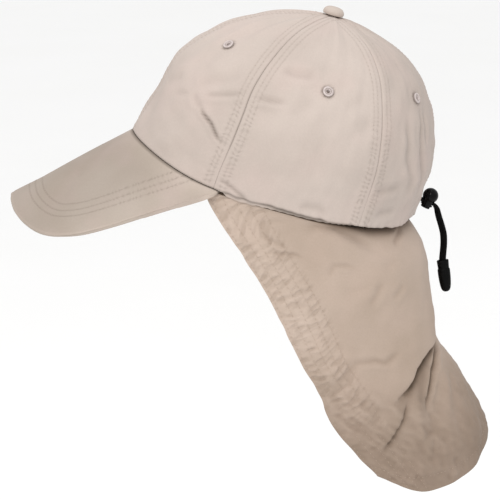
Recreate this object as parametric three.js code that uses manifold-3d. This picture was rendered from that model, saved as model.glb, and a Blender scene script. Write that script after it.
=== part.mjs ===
import * as THREE from 'three';
import { mergeVertices } from 'three/addons/utils/BufferGeometryUtils.js';
import Module from 'manifold-3d';

const wasm = await Module();
wasm.setup();

// Driving sizes in mm and degrees. The brim points to -Y, the wearer's left is +X, up is +Z.
// The origin is the middle of the head opening.
const CAP_TILT = 15;
const RIM_HALF_WIDTH = 81;
const FRONT_REACH = 111.6;
const BACK_REACH = 89.4;
const CROWN_HEIGHT = 120;
const CROWN_BASE = -8;
const TOP_SET_BACK = 4.6;
const CLOTH = 1.2;
const GAP = 0.3;
const BRIM_LENGTH = 94;
const BRIM_THICKNESS = 3;
const BRIM_DROOP = 28.4;
const BRIM_END = 63;
const BRIM_ARCH = 12.2;
const BRIM_TUCK = 1.1;
const SEAM_FRONT = 61;
const SEAM_BACK = 119.5;
const SEAM_VALLEY = 0.6;
const SEAM_RIDGE = 0.4;
const CASING_HEIGHT = 22;
const CASING_SHOWS = 2.4;
const CASING_INSET = 2.3;
const CORD_CHANNEL = 3.2;
const FLAP_LENGTH = 178;
const FLAP_HALF_WIDTH = 75;
const FLAP_START = 58.5;
const FLAP_TUCK = 12;
const FLAP_SPREAD = 170;
const EYELET_DIAMETER = 7.6;
const EYELET_BORE = 2.4;
const EYELET_STAND = 1.3;
const EYELET_WALL = 0.7;
const BUTTON_DIAMETER = 14.2;
const BUTTON_HEIGHT = 5.8;
const CORD_DIAMETER = 2.4;
const LOCK_DIAMETER = 10.7;
const LOCK_COLLAR = 8.3;
const LOCK_TRAVEL = 1.5;
const CORD_END_LENGTH = 22.5;
const CORD_END_WIDTH = 8.6;

// Crown sections from hem to top, as shares of the crown's height and of its three reaches.
const CROWN_COLUMNS = { height: 0, front: 1, back: 2, side: 3 };
const CROWN_ROWS = [
  [0.000, 1.000, 1.000, 1.000],
  [0.100, 0.984, 1.006, 1.015],
  [0.200, 0.955, 1.022, 1.025],
  [0.310, 0.920, 1.030, 1.020],
  [0.430, 0.886, 1.002, 0.990],
  [0.550, 0.850, 0.952, 0.930],
  [0.660, 0.772, 0.883, 0.840],
  [0.760, 0.662, 0.800, 0.730],
  [0.840, 0.548, 0.688, 0.610],
  [0.905, 0.418, 0.550, 0.475],
  [0.952, 0.270, 0.375, 0.320],
  [0.983, 0.130, 0.190, 0.160],
  [1.000, 0.000, 0.000, 0.000],
];

// Outer edge of the brim, from its middle to its end.
// at: share of the way round the front. side: share of the rim's half width.
// forward, drop: shares of the brim's length along its ridge line and below it.
const BRIM_COLUMNS = { at: 0, side: 1, forward: 2, drop: 3 };
const BRIM_ROWS = [
  [0.000, 0.000, 0.992, -0.018],
  [0.140, 0.160, 0.996, 0.004],
  [0.270, 0.310, 0.993, 0.050],
  [0.400, 0.457, 0.964, 0.122],
  [0.520, 0.592, 0.910, 0.192],
  [0.630, 0.691, 0.834, 0.254],
  [0.720, 0.759, 0.730, 0.304],
  [0.790, 0.809, 0.603, 0.347],
  [0.860, 0.852, 0.403, 0.388],
  [0.920, 0.883, 0.174, 0.427],
  [0.965, 0.907, -0.052, 0.468],
  [1.000, 0.922, -0.290, 0.512],
];

// Level sections of the hanging flap. down, front, back: shares of the flap's length below the
// origin and along Y. width: share of the flap's half width.
const FLAP_COLUMNS = { down: 0, front: 1, back: 2, width: 3 };
const FLAP_ROWS = [
  [0.000, -0.337, 0.472, 0.987],
  [0.131, -0.236, 0.488, 1.000],
  [0.258, -0.154, 0.532, 1.000],
  [0.393, -0.073, 0.564, 1.000],
  [0.522, -0.012, 0.580, 0.987],
  [0.640, 0.044, 0.595, 0.973],
  [0.758, 0.112, 0.676, 0.960],
  [0.871, 0.155, 0.744, 0.947],
  [0.983, 0.240, 0.804, 0.933],
  [1.096, 0.335, 0.806, 0.920],
  [1.191, 0.420, 0.800, 0.907],
];

// Lower edge of the flap from the centre back (0) to the front edge (1), as shares of its length.
const FLAP_EDGE_COLUMNS = { at: 0, down: 1 };
const FLAP_EDGE_ROWS = [
  [0.00, 1.020],
  [0.20, 1.046],
  [0.30, 1.081],
  [0.40, 1.110],
  [0.55, 1.136],
  [0.70, 1.149],
  [0.85, 1.153],
  [0.94, 1.122],
  [1.00, 1.075],
];

// Folds of the flap, each a line from one place to another on it.
// at: 0 centre back, 1 front edge. down: 0 hem, 1 lower edge. wide and deep in mm.
const FOLD_COLUMNS = { at0: 0, down0: 1, at1: 2, down1: 3, wide: 4, deep: 5 };
const FOLD_ROWS = [
  [0.12, 0.60, 0.50, 0.88, 15, 3.6],
  [0.06, 0.66, 0.26, 0.95, 13, 2.4],
  [0.42, 0.80, 0.66, 0.97, 14, 2.0],
  [0.30, 0.04, 0.46, 0.30, 14, 1.4],
];

// Dents of the crown. turn: degrees round from the front. height: share of the crown's height.
// long, wide and deep in mm. lean: degrees from upright.
const DENT_COLUMNS = { turn: 0, height: 1, long: 2, wide: 3, deep: 4, lean: 5 };
const DENT_ROWS = [
  [47, 0.36, 24, 7, 1.6, 35],
  [38, 0.62, 18, 10, 0.9, 60],
  [166, 0.42, 46, 9, 0.9, 0],
  [74, 0.10, 14, 8, 0.8, -30],
  [180, 0.11, 24, 20, 1.0, 0],
];

const rad = THREE.MathUtils.degToRad;
const deg = THREE.MathUtils.radToDeg;
const clamp = THREE.MathUtils.clamp;
const lerp = THREE.MathUtils.lerp;
const smooth = (value) => {
  const t = clamp(value, 0, 1);
  return t * t * (3 - 2 * t);
};
const bell = (value) => Math.exp(-value * value);
const vec = (x, y, z) => new THREE.Vector3(x, y, z);
const mid = (points) => points.reduce((sum, p) => sum.add(p), vec(0, 0, 0)).divideScalar(points.length);

function spline(rows, column, place) {
  const last = rows.length - 1;
  const p = clamp(place, 0, last);
  const i = Math.min(Math.floor(p), last - 1);
  const t = p - i;
  const pick = (k) => rows[clamp(k, 0, last)][column];
  const [a, b, c, d] = [pick(i - 1), pick(i), pick(i + 1), pick(i + 2)];
  const bend = (2 * a - 5 * b + 4 * c - d) * t * t + (3 * b - 3 * c + d - a) * t * t * t;
  return 0.5 * (2 * b + (c - a) * t + bend);
}

function placeOf(rows, column, value) {
  let i = 0;
  while (i < rows.length - 2 && rows[i + 1][column] < value) i += 1;
  const low = rows[i][column];
  return i + (value - low) / (rows[i + 1][column] - low);
}

function tilted(x, u, w) {
  const c = Math.cos(rad(CAP_TILT));
  const s = Math.sin(rad(CAP_TILT));
  return vec(x, u * c + w * s, w * c - u * s);
}

// Height of the crown's hem above its base: arched over the brim and drawn up at the back.
function hemHeight(turn) {
  const a = Math.abs(turn);
  const front = BRIM_ARCH * Math.cos(rad(90 * clamp(a / BRIM_END, 0, 1))) ** 1.2;
  const back = 5.5 * smooth((a - 131) / 38) - 1.4 * bell((a - 105) / 38);
  return front + back;
}

const crownPlace = (height) => placeOf(CROWN_ROWS, CROWN_COLUMNS.height, height / CROWN_HEIGHT);
const hemPlace = (turn) => crownPlace(hemHeight(turn));

// Below its first row the wall runs straight on.
function crownPoint(turn, place) {
  if (place < 0) return crownPoint(turn, 0).lerp(crownPoint(turn, 0.5), place * 2);
  const ahead = Math.cos(rad(turn));
  const front = FRONT_REACH * spline(CROWN_ROWS, CROWN_COLUMNS.front, place);
  const back = BACK_REACH * spline(CROWN_ROWS, CROWN_COLUMNS.back, place);
  const reach = ahead > 0 ? front : back;
  const x = RIM_HALF_WIDTH * spline(CROWN_ROWS, CROWN_COLUMNS.side, place) * Math.sin(rad(turn));
  const w = CROWN_BASE + CROWN_HEIGHT * spline(CROWN_ROWS, CROWN_COLUMNS.height, place);
  return tilted(x, TOP_SET_BACK - reach * ahead, w);
}

function crownNormal(turn, place) {
  const p = clamp(place, 0.05, CROWN_ROWS.length - 1.35);
  const along = crownPoint(turn + 0.5, p).sub(crownPoint(turn - 0.5, p));
  const up = crownPoint(turn, p + 0.05).sub(crownPoint(turn, p - 0.05));
  return along.cross(up).normalize();
}

// Distance from the crown's own upright axis, for turning mm along a section into degrees.
function crownRadius(turn, place) {
  const p = crownPoint(turn, place);
  const axis = tilted(0, TOP_SET_BACK, 0);
  const up = tilted(0, 0, 1);
  const arm = p.sub(axis);
  return arm.addScaledVector(up, -arm.dot(up)).length();
}

function crownRelief(turn, place, seamDistance) {
  const height = spline(CROWN_ROWS, CROWN_COLUMNS.height, place);
  const radius = crownRadius(turn, place);
  let relief = SEAM_RIDGE * bell((seamDistance - 4) / 2.5) - SEAM_VALLEY * bell(seamDistance / 1.6);
  for (const row of DENT_ROWS) {
    const side = rad(Math.abs(turn) - row[DENT_COLUMNS.turn]) * radius;
    const rise = (height - row[DENT_COLUMNS.height]) * CROWN_HEIGHT;
    const lean = rad(row[DENT_COLUMNS.lean]);
    const along = rise * Math.cos(lean) + side * Math.sin(lean);
    const across = side * Math.cos(lean) - rise * Math.sin(lean);
    const inside = bell(along / (row[DENT_COLUMNS.long] / 2)) * bell(across / (row[DENT_COLUMNS.wide] / 2));
    relief -= row[DENT_COLUMNS.deep] * inside;
  }
  const rise = (place - hemPlace(turn)) / 2;
  const gathers = Math.sin(rad(Math.abs(turn) * 13)) * smooth((Math.abs(turn) - 118) / 25);
  return relief + 0.8 * gathers * bell(rise);
}

// Closed solid between an outer and an inner grid of the same size.
function sheetGeometry(outer, inner, ring = false) {
  const rows = outer.length;
  const cols = outer[0].length;
  const points = [...outer.flat(), ...inner.flat()];
  const half = rows * cols;
  const faces = [];
  const quad = (a, b, c, d) => faces.push(a, b, c, a, c, d);
  const at = (r, c) => r * cols + (c % cols);
  const span = ring ? cols : cols - 1;
  for (let r = 0; r < rows - 1; r += 1) {
    for (let c = 0; c < span; c += 1) {
      quad(at(r, c), at(r, c + 1), at(r + 1, c + 1), at(r + 1, c));
      quad(half + at(r, c), half + at(r + 1, c), half + at(r + 1, c + 1), half + at(r, c + 1));
    }
  }
  for (let c = 0; c < span; c += 1) {
    quad(at(0, c), half + at(0, c), half + at(0, c + 1), at(0, c + 1));
    quad(at(rows - 1, c), at(rows - 1, c + 1), half + at(rows - 1, c + 1), half + at(rows - 1, c));
  }
  if (!ring) {
    for (let r = 0; r < rows - 1; r += 1) {
      quad(at(r, 0), at(r + 1, 0), half + at(r + 1, 0), half + at(r, 0));
      quad(at(r, cols - 1), half + at(r, cols - 1), half + at(r + 1, cols - 1), at(r + 1, cols - 1));
    }
  }
  return outward(points, faces);
}

// Closed solid through a row of loops, each with the same number of points, with fans at the ends.
function loftGeometry(loops) {
  const size = loops[0].length;
  const points = [...loops.flat(), mid(loops[0]), mid(loops.at(-1))];
  const faces = [];
  for (let i = 0; i < loops.length - 1; i += 1) {
    for (let k = 0; k < size; k += 1) {
      const a = i * size + k;
      const b = i * size + ((k + 1) % size);
      faces.push(a, b, b + size, a, b + size, a + size);
    }
  }
  const end = (loops.length - 1) * size;
  for (let k = 0; k < size; k += 1) {
    const next = (k + 1) % size;
    faces.push(next, k, loops.length * size);
    faces.push(end + k, end + next, loops.length * size + 1);
  }
  return outward(points, faces);
}

function outward(points, faces) {
  let volume = 0;
  for (let i = 0; i < faces.length; i += 3) {
    const [a, b, c] = [points[faces[i]], points[faces[i + 1]], points[faces[i + 2]]];
    volume += a.dot(b.clone().cross(c));
  }
  const index = volume > 0 ? faces : faces.map((v, i) => faces[i - (i % 3) + 2 - (i % 3)]);
  const geometry = new THREE.BufferGeometry();
  geometry.setAttribute('position', new THREE.Float32BufferAttribute(points.flatMap((p) => p.toArray()), 3));
  geometry.setIndex(index);
  return geometry;
}

function solidOf(geometry) {
  const bare = geometry.clone();
  bare.deleteAttribute('normal');
  bare.deleteAttribute('uv');
  const merged = mergeVertices(bare, 1e-4);
  const mesh = new wasm.Mesh({
    numProp: 3,
    vertProperties: new Float32Array(merged.attributes.position.array),
    triVerts: new Uint32Array(merged.index.array),
  });
  return new wasm.Manifold(mesh);
}

function geometryOf(solid) {
  const mesh = solid.getMesh();
  const geometry = new THREE.BufferGeometry();
  geometry.setAttribute('position', new THREE.BufferAttribute(new Float32Array(mesh.vertProperties), 3));
  geometry.setIndex(new THREE.BufferAttribute(new Uint32Array(mesh.triVerts), 1));
  return geometry;
}

function cut(geometry, tools) {
  let solid = solidOf(geometry);
  for (const tool of tools) solid = solid.subtract(solidOf(tool));
  return geometryOf(solid);
}

function turned(geometry, from, direction, origin) {
  const spin = new THREE.Quaternion().setFromUnitVectors(from, direction);
  return geometry.applyQuaternion(spin).translate(origin.x, origin.y, origin.z);
}

function lathe(profile, segments) {
  const points = profile.map(([r, z]) => new THREE.Vector2(r, z));
  return new THREE.LatheGeometry(points, segments).rotateX(Math.PI / 2);
}

const UP = vec(0, 0, 1);
const cap = new THREE.Group();
cap.name = 'legionnaire_cap';

function add(name, geometry, colour, roughness) {
  const shaded = geometry.index ? geometry.toNonIndexed() : geometry;
  shaded.deleteAttribute('normal');
  const welded = mergeVertices(shaded, 1e-4);
  welded.computeVertexNormals();
  const mesh = new THREE.Mesh(welded, new THREE.MeshStandardMaterial({ color: colour, roughness }));
  mesh.name = name;
  cap.add(mesh);
}

const CLOTH_COLOUR = 0xcfc2b8;
const BRIM_COLOUR = 0xbfb2a6;
const FLAP_COLOUR = 0xb9aa9c;
const METAL_COLOUR = 0xc9bab9;
const PLASTIC_COLOUR = 0x1b1b1c;
const CORD_COLOUR = 0x121212;

// Vent eyelets of the front, side and back panels: degrees from the front and share of the height.
const EYELETS = [
  { turn: 33, height: 0.73 },
  { turn: 91, height: 0.658 },
  { turn: 146.7, height: 0.704 },
];

// Crown panels, each a wedge from the hem to the hole under the button.
const TOP_PLACE = 11.62;
const SEAM_STEPS = [0, 2, 6];
const SEAM_SHARES = [0, 0.25, 0.55];
const INNER_STEPS = [0.27, 0.53, 0.79];
const PANEL_RISE = [0, 0.05, 0.14, 0.24, 0.34, 0.44, 0.54, 0.63, 0.72, 0.81, 0.9, 1];

function panelGeometry(from, to) {
  const outer = [];
  const inner = [];
  const middle = (from + to) / 2;
  for (const rise of PANEL_RISE) {
    const outerRow = [];
    const innerRow = [];
    const put = (turn, distance) => {
      const place = lerp(hemPlace(turn), TOP_PLACE, rise);
      const normal = crownNormal(turn, place);
      const point = crownPoint(turn, place).addScaledVector(normal, crownRelief(turn, place, distance));
      outerRow.push(point);
      innerRow.push(point.clone().addScaledVector(normal, -CLOTH));
    };
    const half = (seam) => {
      const radius = crownRadius(seam, lerp(hemPlace(seam), TOP_PLACE, rise));
      const width = rad(Math.abs(middle - seam)) * radius;
      const steps = SEAM_STEPS.map((step, i) => {
        const distance = Math.max(GAP / 2, Math.min(step, SEAM_SHARES[i] * width));
        return { distance, turn: seam + Math.sign(middle - seam) * deg(distance / radius) };
      });
      const last = steps.at(-1);
      for (const share of INNER_STEPS) {
        steps.push({
          distance: lerp(last.distance, width, share),
          turn: lerp(last.turn, middle, share),
        });
      }
      return steps;
    };
    for (const step of half(from)) put(step.turn, step.distance);
    put(middle, rad(Math.abs(middle - from)) * crownRadius(middle, hemPlace(middle)));
    for (const step of half(to).reverse()) put(step.turn, step.distance);
    outer.push(outerRow);
    inner.push(innerRow);
  }
  return sheetGeometry(outer, inner);
}

// An eyelet sits square on the crown, at the height where its panel's outer face really is.
function eyeletSeat(eyelet, side, panel) {
  const turn = eyelet.turn * side;
  const place = crownPlace(eyelet.height * CROWN_HEIGHT);
  const normal = crownNormal(turn, place);
  const start = crownPoint(turn, place).addScaledVector(normal, 5);
  const ray = new THREE.Raycaster(start, normal.clone().negate());
  return { point: ray.intersectObject(new THREE.Mesh(panel))[0].point, normal };
}

const holeTool = (radius) => new THREE.CylinderGeometry(radius, radius, 14, 10).rotateX(Math.PI / 2);

// Where the drawcord leaves the crown, in the seam at the centre back.
const EXIT_RISE = 8.9;
const exitPlace = crownPlace(hemHeight(180) + EXIT_RISE);
const exitPoint = crownPoint(180, exitPlace);
const exitNormal = crownNormal(180, exitPlace);
const STRAND_SPREAD = CORD_DIAMETER / 2 + GAP / 2;
const exitTool = () => {
  const radius = CORD_DIAMETER / 2 + 2 * GAP;
  const shape = holeTool(radius).scale(1 + STRAND_SPREAD / radius, 1, 1);
  return turned(shape, UP, exitNormal, exitPoint);
};

const PANELS = [
  { name: 'front', from: 0, to: SEAM_FRONT },
  { name: 'side', from: SEAM_FRONT, to: SEAM_BACK },
  { name: 'back', from: SEAM_BACK, to: 180 },
];

// Each eyelet is a rolled flange outside, a barrel through the cloth and a small flange inside.
function eyeletGeometry() {
  const bore = EYELET_BORE / 2;
  const barrel = bore + EYELET_WALL;
  const rim = EYELET_DIAMETER / 2;
  const inside = -CLOTH - 0.5;
  const profile = [
    [bore, inside - EYELET_WALL],
    [rim - EYELET_WALL, inside - EYELET_WALL],
    [rim - EYELET_WALL, inside],
    [barrel, inside],
    [barrel, GAP],
    [rim, GAP],
    [rim * 0.8, EYELET_STAND],
    [bore, EYELET_STAND * 0.7],
    [bore, inside - EYELET_WALL],
  ];
  return lathe(profile, 10);
}

for (const side of [1, -1]) {
  const hand = side > 0 ? 'left' : 'right';
  for (const [i, panel] of PANELS.entries()) {
    const whole = panelGeometry(panel.from * side, panel.to * side);
    const seat = eyeletSeat(EYELETS[i], side, whole);
    const tools = [turned(holeTool(EYELET_BORE / 2 + EYELET_WALL + GAP), UP, seat.normal, seat.point)];
    if (panel.name === 'back') tools.push(exitTool());
    add(`crown_panel_${panel.name}_${hand}`, cut(whole, tools), CLOTH_COLOUR, 0.9);
    const ring = turned(eyeletGeometry(), UP, seat.normal, seat.point);
    add(`eyelet_${panel.name}_${hand}`, ring, METAL_COLOUR, 0.5);
  }
}

// Covered button: a dome outside, a shank through the top hole and a back plate inside.
const SHANK = 2.4;
const buttonProfile = [
  [0, BUTTON_HEIGHT],
  [BUTTON_DIAMETER * 0.18, BUTTON_HEIGHT * 0.97],
  [BUTTON_DIAMETER * 0.34, BUTTON_HEIGHT * 0.84],
  [BUTTON_DIAMETER * 0.45, BUTTON_HEIGHT * 0.6],
  [BUTTON_DIAMETER * 0.5, BUTTON_HEIGHT * 0.34],
  [BUTTON_DIAMETER * 0.48, BUTTON_HEIGHT * 0.1],
  [SHANK, 0.7],
  [SHANK, -CLOTH - 1.8],
  [SHANK + 2.4, -CLOTH - 2.2],
  [SHANK + 2, -CLOTH - 3],
  [0, -CLOTH - 3.2],
];
const topPoint = tilted(0, TOP_SET_BACK, CROWN_BASE + CROWN_HEIGHT);
const topNormal = tilted(0, 0, 1);
const buttonShape = lathe(buttonProfile.reverse(), 16);
add('top_button', turned(buttonShape, UP, topNormal, topPoint), CLOTH_COLOUR, 0.9);

// Brim: straight lines from the hem of the crown to the edge table, thickened downward.
const ridge = vec(0, -Math.cos(rad(BRIM_DROOP)), -Math.sin(rad(BRIM_DROOP)));
const ridgeUp = vec(0, -Math.sin(rad(BRIM_DROOP)), Math.cos(rad(BRIM_DROOP)));
const capDown = tilted(0, 0, -1);
const brimRoot = (share) => {
  const turn = share * BRIM_END;
  return crownPoint(turn, hemPlace(turn)).addScaledVector(capDown, GAP + 0.1);
};

function brimEdge(share) {
  const place = placeOf(BRIM_ROWS, BRIM_COLUMNS.at, Math.abs(share));
  const side = Math.sign(share) * RIM_HALF_WIDTH * spline(BRIM_ROWS, BRIM_COLUMNS.side, place);
  const forward = BRIM_LENGTH * spline(BRIM_ROWS, BRIM_COLUMNS.forward, place);
  const drop = BRIM_LENGTH * spline(BRIM_ROWS, BRIM_COLUMNS.drop, place);
  const point = crownPoint(0, hemPlace(0)).addScaledVector(ridge, forward).addScaledVector(ridgeUp, -drop);
  point.x = side;
  return point;
}

const brimPoint = (share, out) => brimRoot(share).lerp(brimEdge(share), out);

function brimNormal(share, out) {
  const low = Math.max(share - 0.01, -1);
  const high = Math.min(share + 0.01, 1);
  const across = brimPoint(high, out).sub(brimPoint(low, out));
  return across.cross(brimEdge(share).sub(brimRoot(share))).normalize().negate();
}

const BRIM_OUT = [0, 0.1, 0.28, 0.5, 0.72, 0.88, 0.965, 0.992];
const BRIM_AT = [0, 0.09, 0.18, 0.27, 0.36, 0.45, 0.54, 0.63, 0.71, 0.78, 0.84, 0.89, 0.935, 0.97, 1];

function brimLoop(share) {
  const turn = share * BRIM_END;
  const inward = crownNormal(turn, hemPlace(turn)).negate().multiplyScalar(BRIM_TUCK);
  const top = BRIM_OUT.map((out) => brimPoint(share, out));
  const bottom = BRIM_OUT.map((out, i) => {
    const thin = out > 0.9 ? BRIM_THICKNESS - 0.5 : BRIM_THICKNESS;
    return top[i].clone().addScaledVector(brimNormal(share, out), -thin);
  });
  const edge = brimPoint(share, 1).addScaledVector(brimNormal(share, 1), -BRIM_THICKNESS * 0.45);
  return [top[0].clone().add(inward), ...top, edge, ...bottom.reverse(), bottom.at(-1).clone().add(inward)];
}

const brimShares = [...BRIM_AT.slice(1).reverse().map((v) => -v), ...BRIM_AT];
add('brim', loftGeometry(brimShares.map(brimLoop)), BRIM_COLOUR, 0.9);

// The casing and the flap stand off the crown at the back, where the drawcord draws it in.
const backSpace = (turn) => {
  const a = Math.abs(turn);
  return CORD_CHANNEL * smooth((a - 100) / 25) + 2 * bell((a - 130) / 16);
};

function insetPoint(turn, rise, inset) {
  const normal = crownNormal(turn, hemPlace(turn));
  return crownPoint(turn, crownPlace(hemHeight(turn) + rise)).addScaledVector(normal, -inset);
}

const CASING_STEPS = 56;
const casingOuter = [];
const casingInner = [];
for (const share of [0, 0.35, 1]) {
  const outerRow = [];
  const innerRow = [];
  for (let i = 0; i < CASING_STEPS; i += 1) {
    const turn = (i / CASING_STEPS) * 360 - 180;
    const shows = CASING_SHOWS * smooth((Math.abs(turn) - BRIM_END - 2) / 6);
    const front = (GAP + 0.5) * (1 - smooth((Math.abs(turn) - BRIM_END) / 6));
    const rise = lerp(front - shows, CASING_HEIGHT, share);
    const inset = CASING_INSET + backSpace(turn);
    outerRow.push(insetPoint(turn, rise, inset));
    innerRow.push(insetPoint(turn, rise, inset + CLOTH));
  }
  casingOuter.push(outerRow);
  casingInner.push(innerRow);
}
add('hem_casing', sheetGeometry(casingOuter, casingInner, true), CLOTH_COLOUR, 0.9);

// Neck flap: hung from inside the casing, blending from the rim into the level sections.
const FLAP_INSET = CASING_INSET + CLOTH + 0.5;

function flapSection(share, down) {
  const place = placeOf(FLAP_ROWS, FLAP_COLUMNS.down, down);
  const front = FLAP_LENGTH * spline(FLAP_ROWS, FLAP_COLUMNS.front, place);
  const back = FLAP_LENGTH * spline(FLAP_ROWS, FLAP_COLUMNS.back, place);
  const half = FLAP_HALF_WIDTH * spline(FLAP_ROWS, FLAP_COLUMNS.width, place);
  const opening = 118 - 22 * smooth(down * 1.2);
  const bend = (back - front) / (1 - Math.cos(rad(opening)));
  const turn = opening * share;
  const wide = half / Math.sin(rad(Math.min(opening, 90)));
  return vec(wide * Math.sin(rad(turn)), back - bend + bend * Math.cos(rad(turn)), -FLAP_LENGTH * down);
}

function flapBase(share, down) {
  const turn = Math.sign(share || 1) * 180 - share * (180 - FLAP_START);
  const top = insetPoint(turn, -CASING_SHOWS - 1, FLAP_INSET + backSpace(turn));
  const edge = placeOf(FLAP_EDGE_ROWS, FLAP_EDGE_COLUMNS.at, Math.abs(share));
  const lowest = spline(FLAP_EDGE_ROWS, FLAP_EDGE_COLUMNS.down, edge);
  const level = lerp(-top.z / FLAP_LENGTH, lowest, down);
  const hanging = flapSection(share, Math.max(level, 0));
  hanging.z = -FLAP_LENGTH * level;
  return top.lerp(hanging, smooth(down / 0.14));
}

function flapFold(share, down) {
  let relief = 0;
  for (const row of FOLD_ROWS) {
    const dx = (row[FOLD_COLUMNS.at1] - row[FOLD_COLUMNS.at0]) * FLAP_SPREAD;
    const dy = (row[FOLD_COLUMNS.down1] - row[FOLD_COLUMNS.down0]) * FLAP_LENGTH;
    const size = Math.hypot(dx, dy);
    const px = (Math.abs(share) - row[FOLD_COLUMNS.at0]) * FLAP_SPREAD;
    const py = (down - row[FOLD_COLUMNS.down0]) * FLAP_LENGTH;
    const along = (px * dx + py * dy) / (size * size);
    const across = (px * dy - py * dx) / size;
    const w = row[FOLD_COLUMNS.wide] / 2;
    const end = smooth((along + 0.15) / 0.3) * smooth((1.15 - along) / 0.3);
    relief += row[FOLD_COLUMNS.deep] * end * (0.6 * bell((across + w) / w) - bell((across - w * 0.4) / w));
  }
  return relief * smooth(down / 0.15);
}

function flapNormal(share, down) {
  const step = 0.01;
  const across = flapBase(Math.min(share + step, 1), down).sub(flapBase(Math.max(share - step, -1), down));
  const low = flapBase(share, Math.min(down + step, 1));
  const fall = low.sub(flapBase(share, Math.max(down - step, 0)));
  return across.cross(fall).normalize();
}

const FLAP_STEPS = 20;
const FLAP_DOWN = [0, 0.05, 0.11, 0.18, 0.27, 0.36, 0.45, 0.53, 0.6, 0.67, 0.73, 0.79, 0.85, 0.92, 1];
const flapOuter = [];
const flapInner = [];
for (const tuck of [FLAP_TUCK, FLAP_TUCK / 2]) {
  const outerRow = [];
  const innerRow = [];
  for (let i = -FLAP_STEPS; i <= FLAP_STEPS; i += 1) {
    const share = i / FLAP_STEPS;
    const turn = Math.sign(share || 1) * 180 - share * (180 - FLAP_START);
    const inset = FLAP_INSET + backSpace(turn);
    outerRow.push(insetPoint(turn, tuck, inset));
    innerRow.push(insetPoint(turn, tuck, inset + CLOTH));
  }
  flapOuter.push(outerRow);
  flapInner.push(innerRow);
}
for (const down of FLAP_DOWN) {
  const outerRow = [];
  const innerRow = [];
  for (let i = -FLAP_STEPS; i <= FLAP_STEPS; i += 1) {
    const share = i / FLAP_STEPS;
    const normal = flapNormal(share, down);
    const point = flapBase(share, down).addScaledVector(normal, flapFold(share, down));
    outerRow.push(point);
    innerRow.push(point.clone().addScaledVector(normal, -CLOTH));
  }
  flapOuter.push(outerRow);
  flapInner.push(innerRow);
}
add('neck_flap', sheetGeometry(flapOuter, flapInner), FLAP_COLOUR, 0.92);

// Cord lock: ball with a collar, bored from below for the plunger, with one slot for both strands.
const LOCK_LEAN = 25;
const SLOT_DROP = 4.5;
const PLUNGER_RADIUS = 3.2;
const PLUNGER_SHOWS = 1.8;
const lockDown = vec(0, -Math.sin(rad(LOCK_LEAN)), -Math.cos(rad(LOCK_LEAN)));
const lockOut = vec(0, Math.cos(rad(LOCK_LEAN)), -Math.sin(rad(LOCK_LEAN)));
const lockCentre = vec(0, 101.1, -16.8);
const slotHalf = STRAND_SPREAD + CORD_DIAMETER / 2 + GAP;
const slotHigh = CORD_DIAMETER / 2 + GAP;
const collarEnd = SLOT_DROP + slotHigh + 1.2;
const boreTop = LOCK_DIAMETER / 2 - 2.6;
const boreRadius = PLUNGER_RADIUS + 0.3;
const slotBox = (low, high, deep) => new THREE.BoxGeometry(slotHalf * 2, deep, high - low)
  .translate(0, 0, (low + high) / 2);
const ball = new THREE.SphereGeometry(LOCK_DIAMETER / 2, 16, 10).rotateX(Math.PI / 2);
const collar = new THREE.CylinderGeometry(LOCK_COLLAR / 2, LOCK_COLLAR / 2, collarEnd, 16)
  .rotateX(Math.PI / 2).translate(0, 0, -collarEnd / 2);
const bore = new THREE.CylinderGeometry(boreRadius, boreRadius, boreTop + collarEnd + 1, 16)
  .rotateX(Math.PI / 2).translate(0, 0, (boreTop - collarEnd - 1) / 2);
const lockBody = solidOf(ball).add(solidOf(collar)).subtract(solidOf(bore))
  .subtract(solidOf(slotBox(-SLOT_DROP - slotHigh, -SLOT_DROP + slotHigh, 20)));
const plungerTop = boreTop - LOCK_TRAVEL - GAP;
const plungerEnd = collarEnd + PLUNGER_SHOWS;
const plungerBody = new THREE.CylinderGeometry(PLUNGER_RADIUS, PLUNGER_RADIUS, plungerTop + plungerEnd, 16)
  .rotateX(Math.PI / 2).translate(0, 0, (plungerTop - plungerEnd) / 2);
const plunger = solidOf(plungerBody)
  .subtract(solidOf(slotBox(-SLOT_DROP - slotHigh - LOCK_TRAVEL, -SLOT_DROP + slotHigh, 20)));
const lockUp = lockDown.clone().negate();
add('cord_lock_body', turned(geometryOf(lockBody), UP, lockUp, lockCentre), PLASTIC_COLOUR, 0.4);
add('cord_lock_plunger', turned(geometryOf(plunger), UP, lockUp, lockCentre), PLASTIC_COLOUR, 0.4);

// Cord end: a tapered oval moulding hanging from both strands, with a blind hole for them.
const endTop = vec(0, 110.2, -61.9);
const endDown = vec(0, 0.135, -0.991).normalize();
const endRadius = CORD_END_WIDTH / 2;
const endProfile = [
  [0, -CORD_END_LENGTH],
  [endRadius * 0.42, -CORD_END_LENGTH * 0.985],
  [endRadius * 0.7, -CORD_END_LENGTH * 0.93],
  [endRadius * 0.86, -CORD_END_LENGTH * 0.8],
  [endRadius * 0.98, -CORD_END_LENGTH * 0.5],
  [endRadius, -CORD_END_LENGTH * 0.3],
  [endRadius * 0.86, -CORD_END_LENGTH * 0.27],
  [endRadius * 0.95, -CORD_END_LENGTH * 0.04],
  [endRadius * 0.9, 0],
  [0, 0],
];
const END_HOLE = 6;
const endSlot = new THREE.BoxGeometry(CORD_DIAMETER + 2 * GAP, CORD_DIAMETER * 2 + 3 * GAP, END_HOLE * 2);
const endShape = cut(lathe(endProfile, 16).scale(0.72, 1, 1), [endSlot]);
add('cord_end', turned(endShape, UP, endDown.clone().negate(), endTop), PLASTIC_COLOUR, 0.5);

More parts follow.
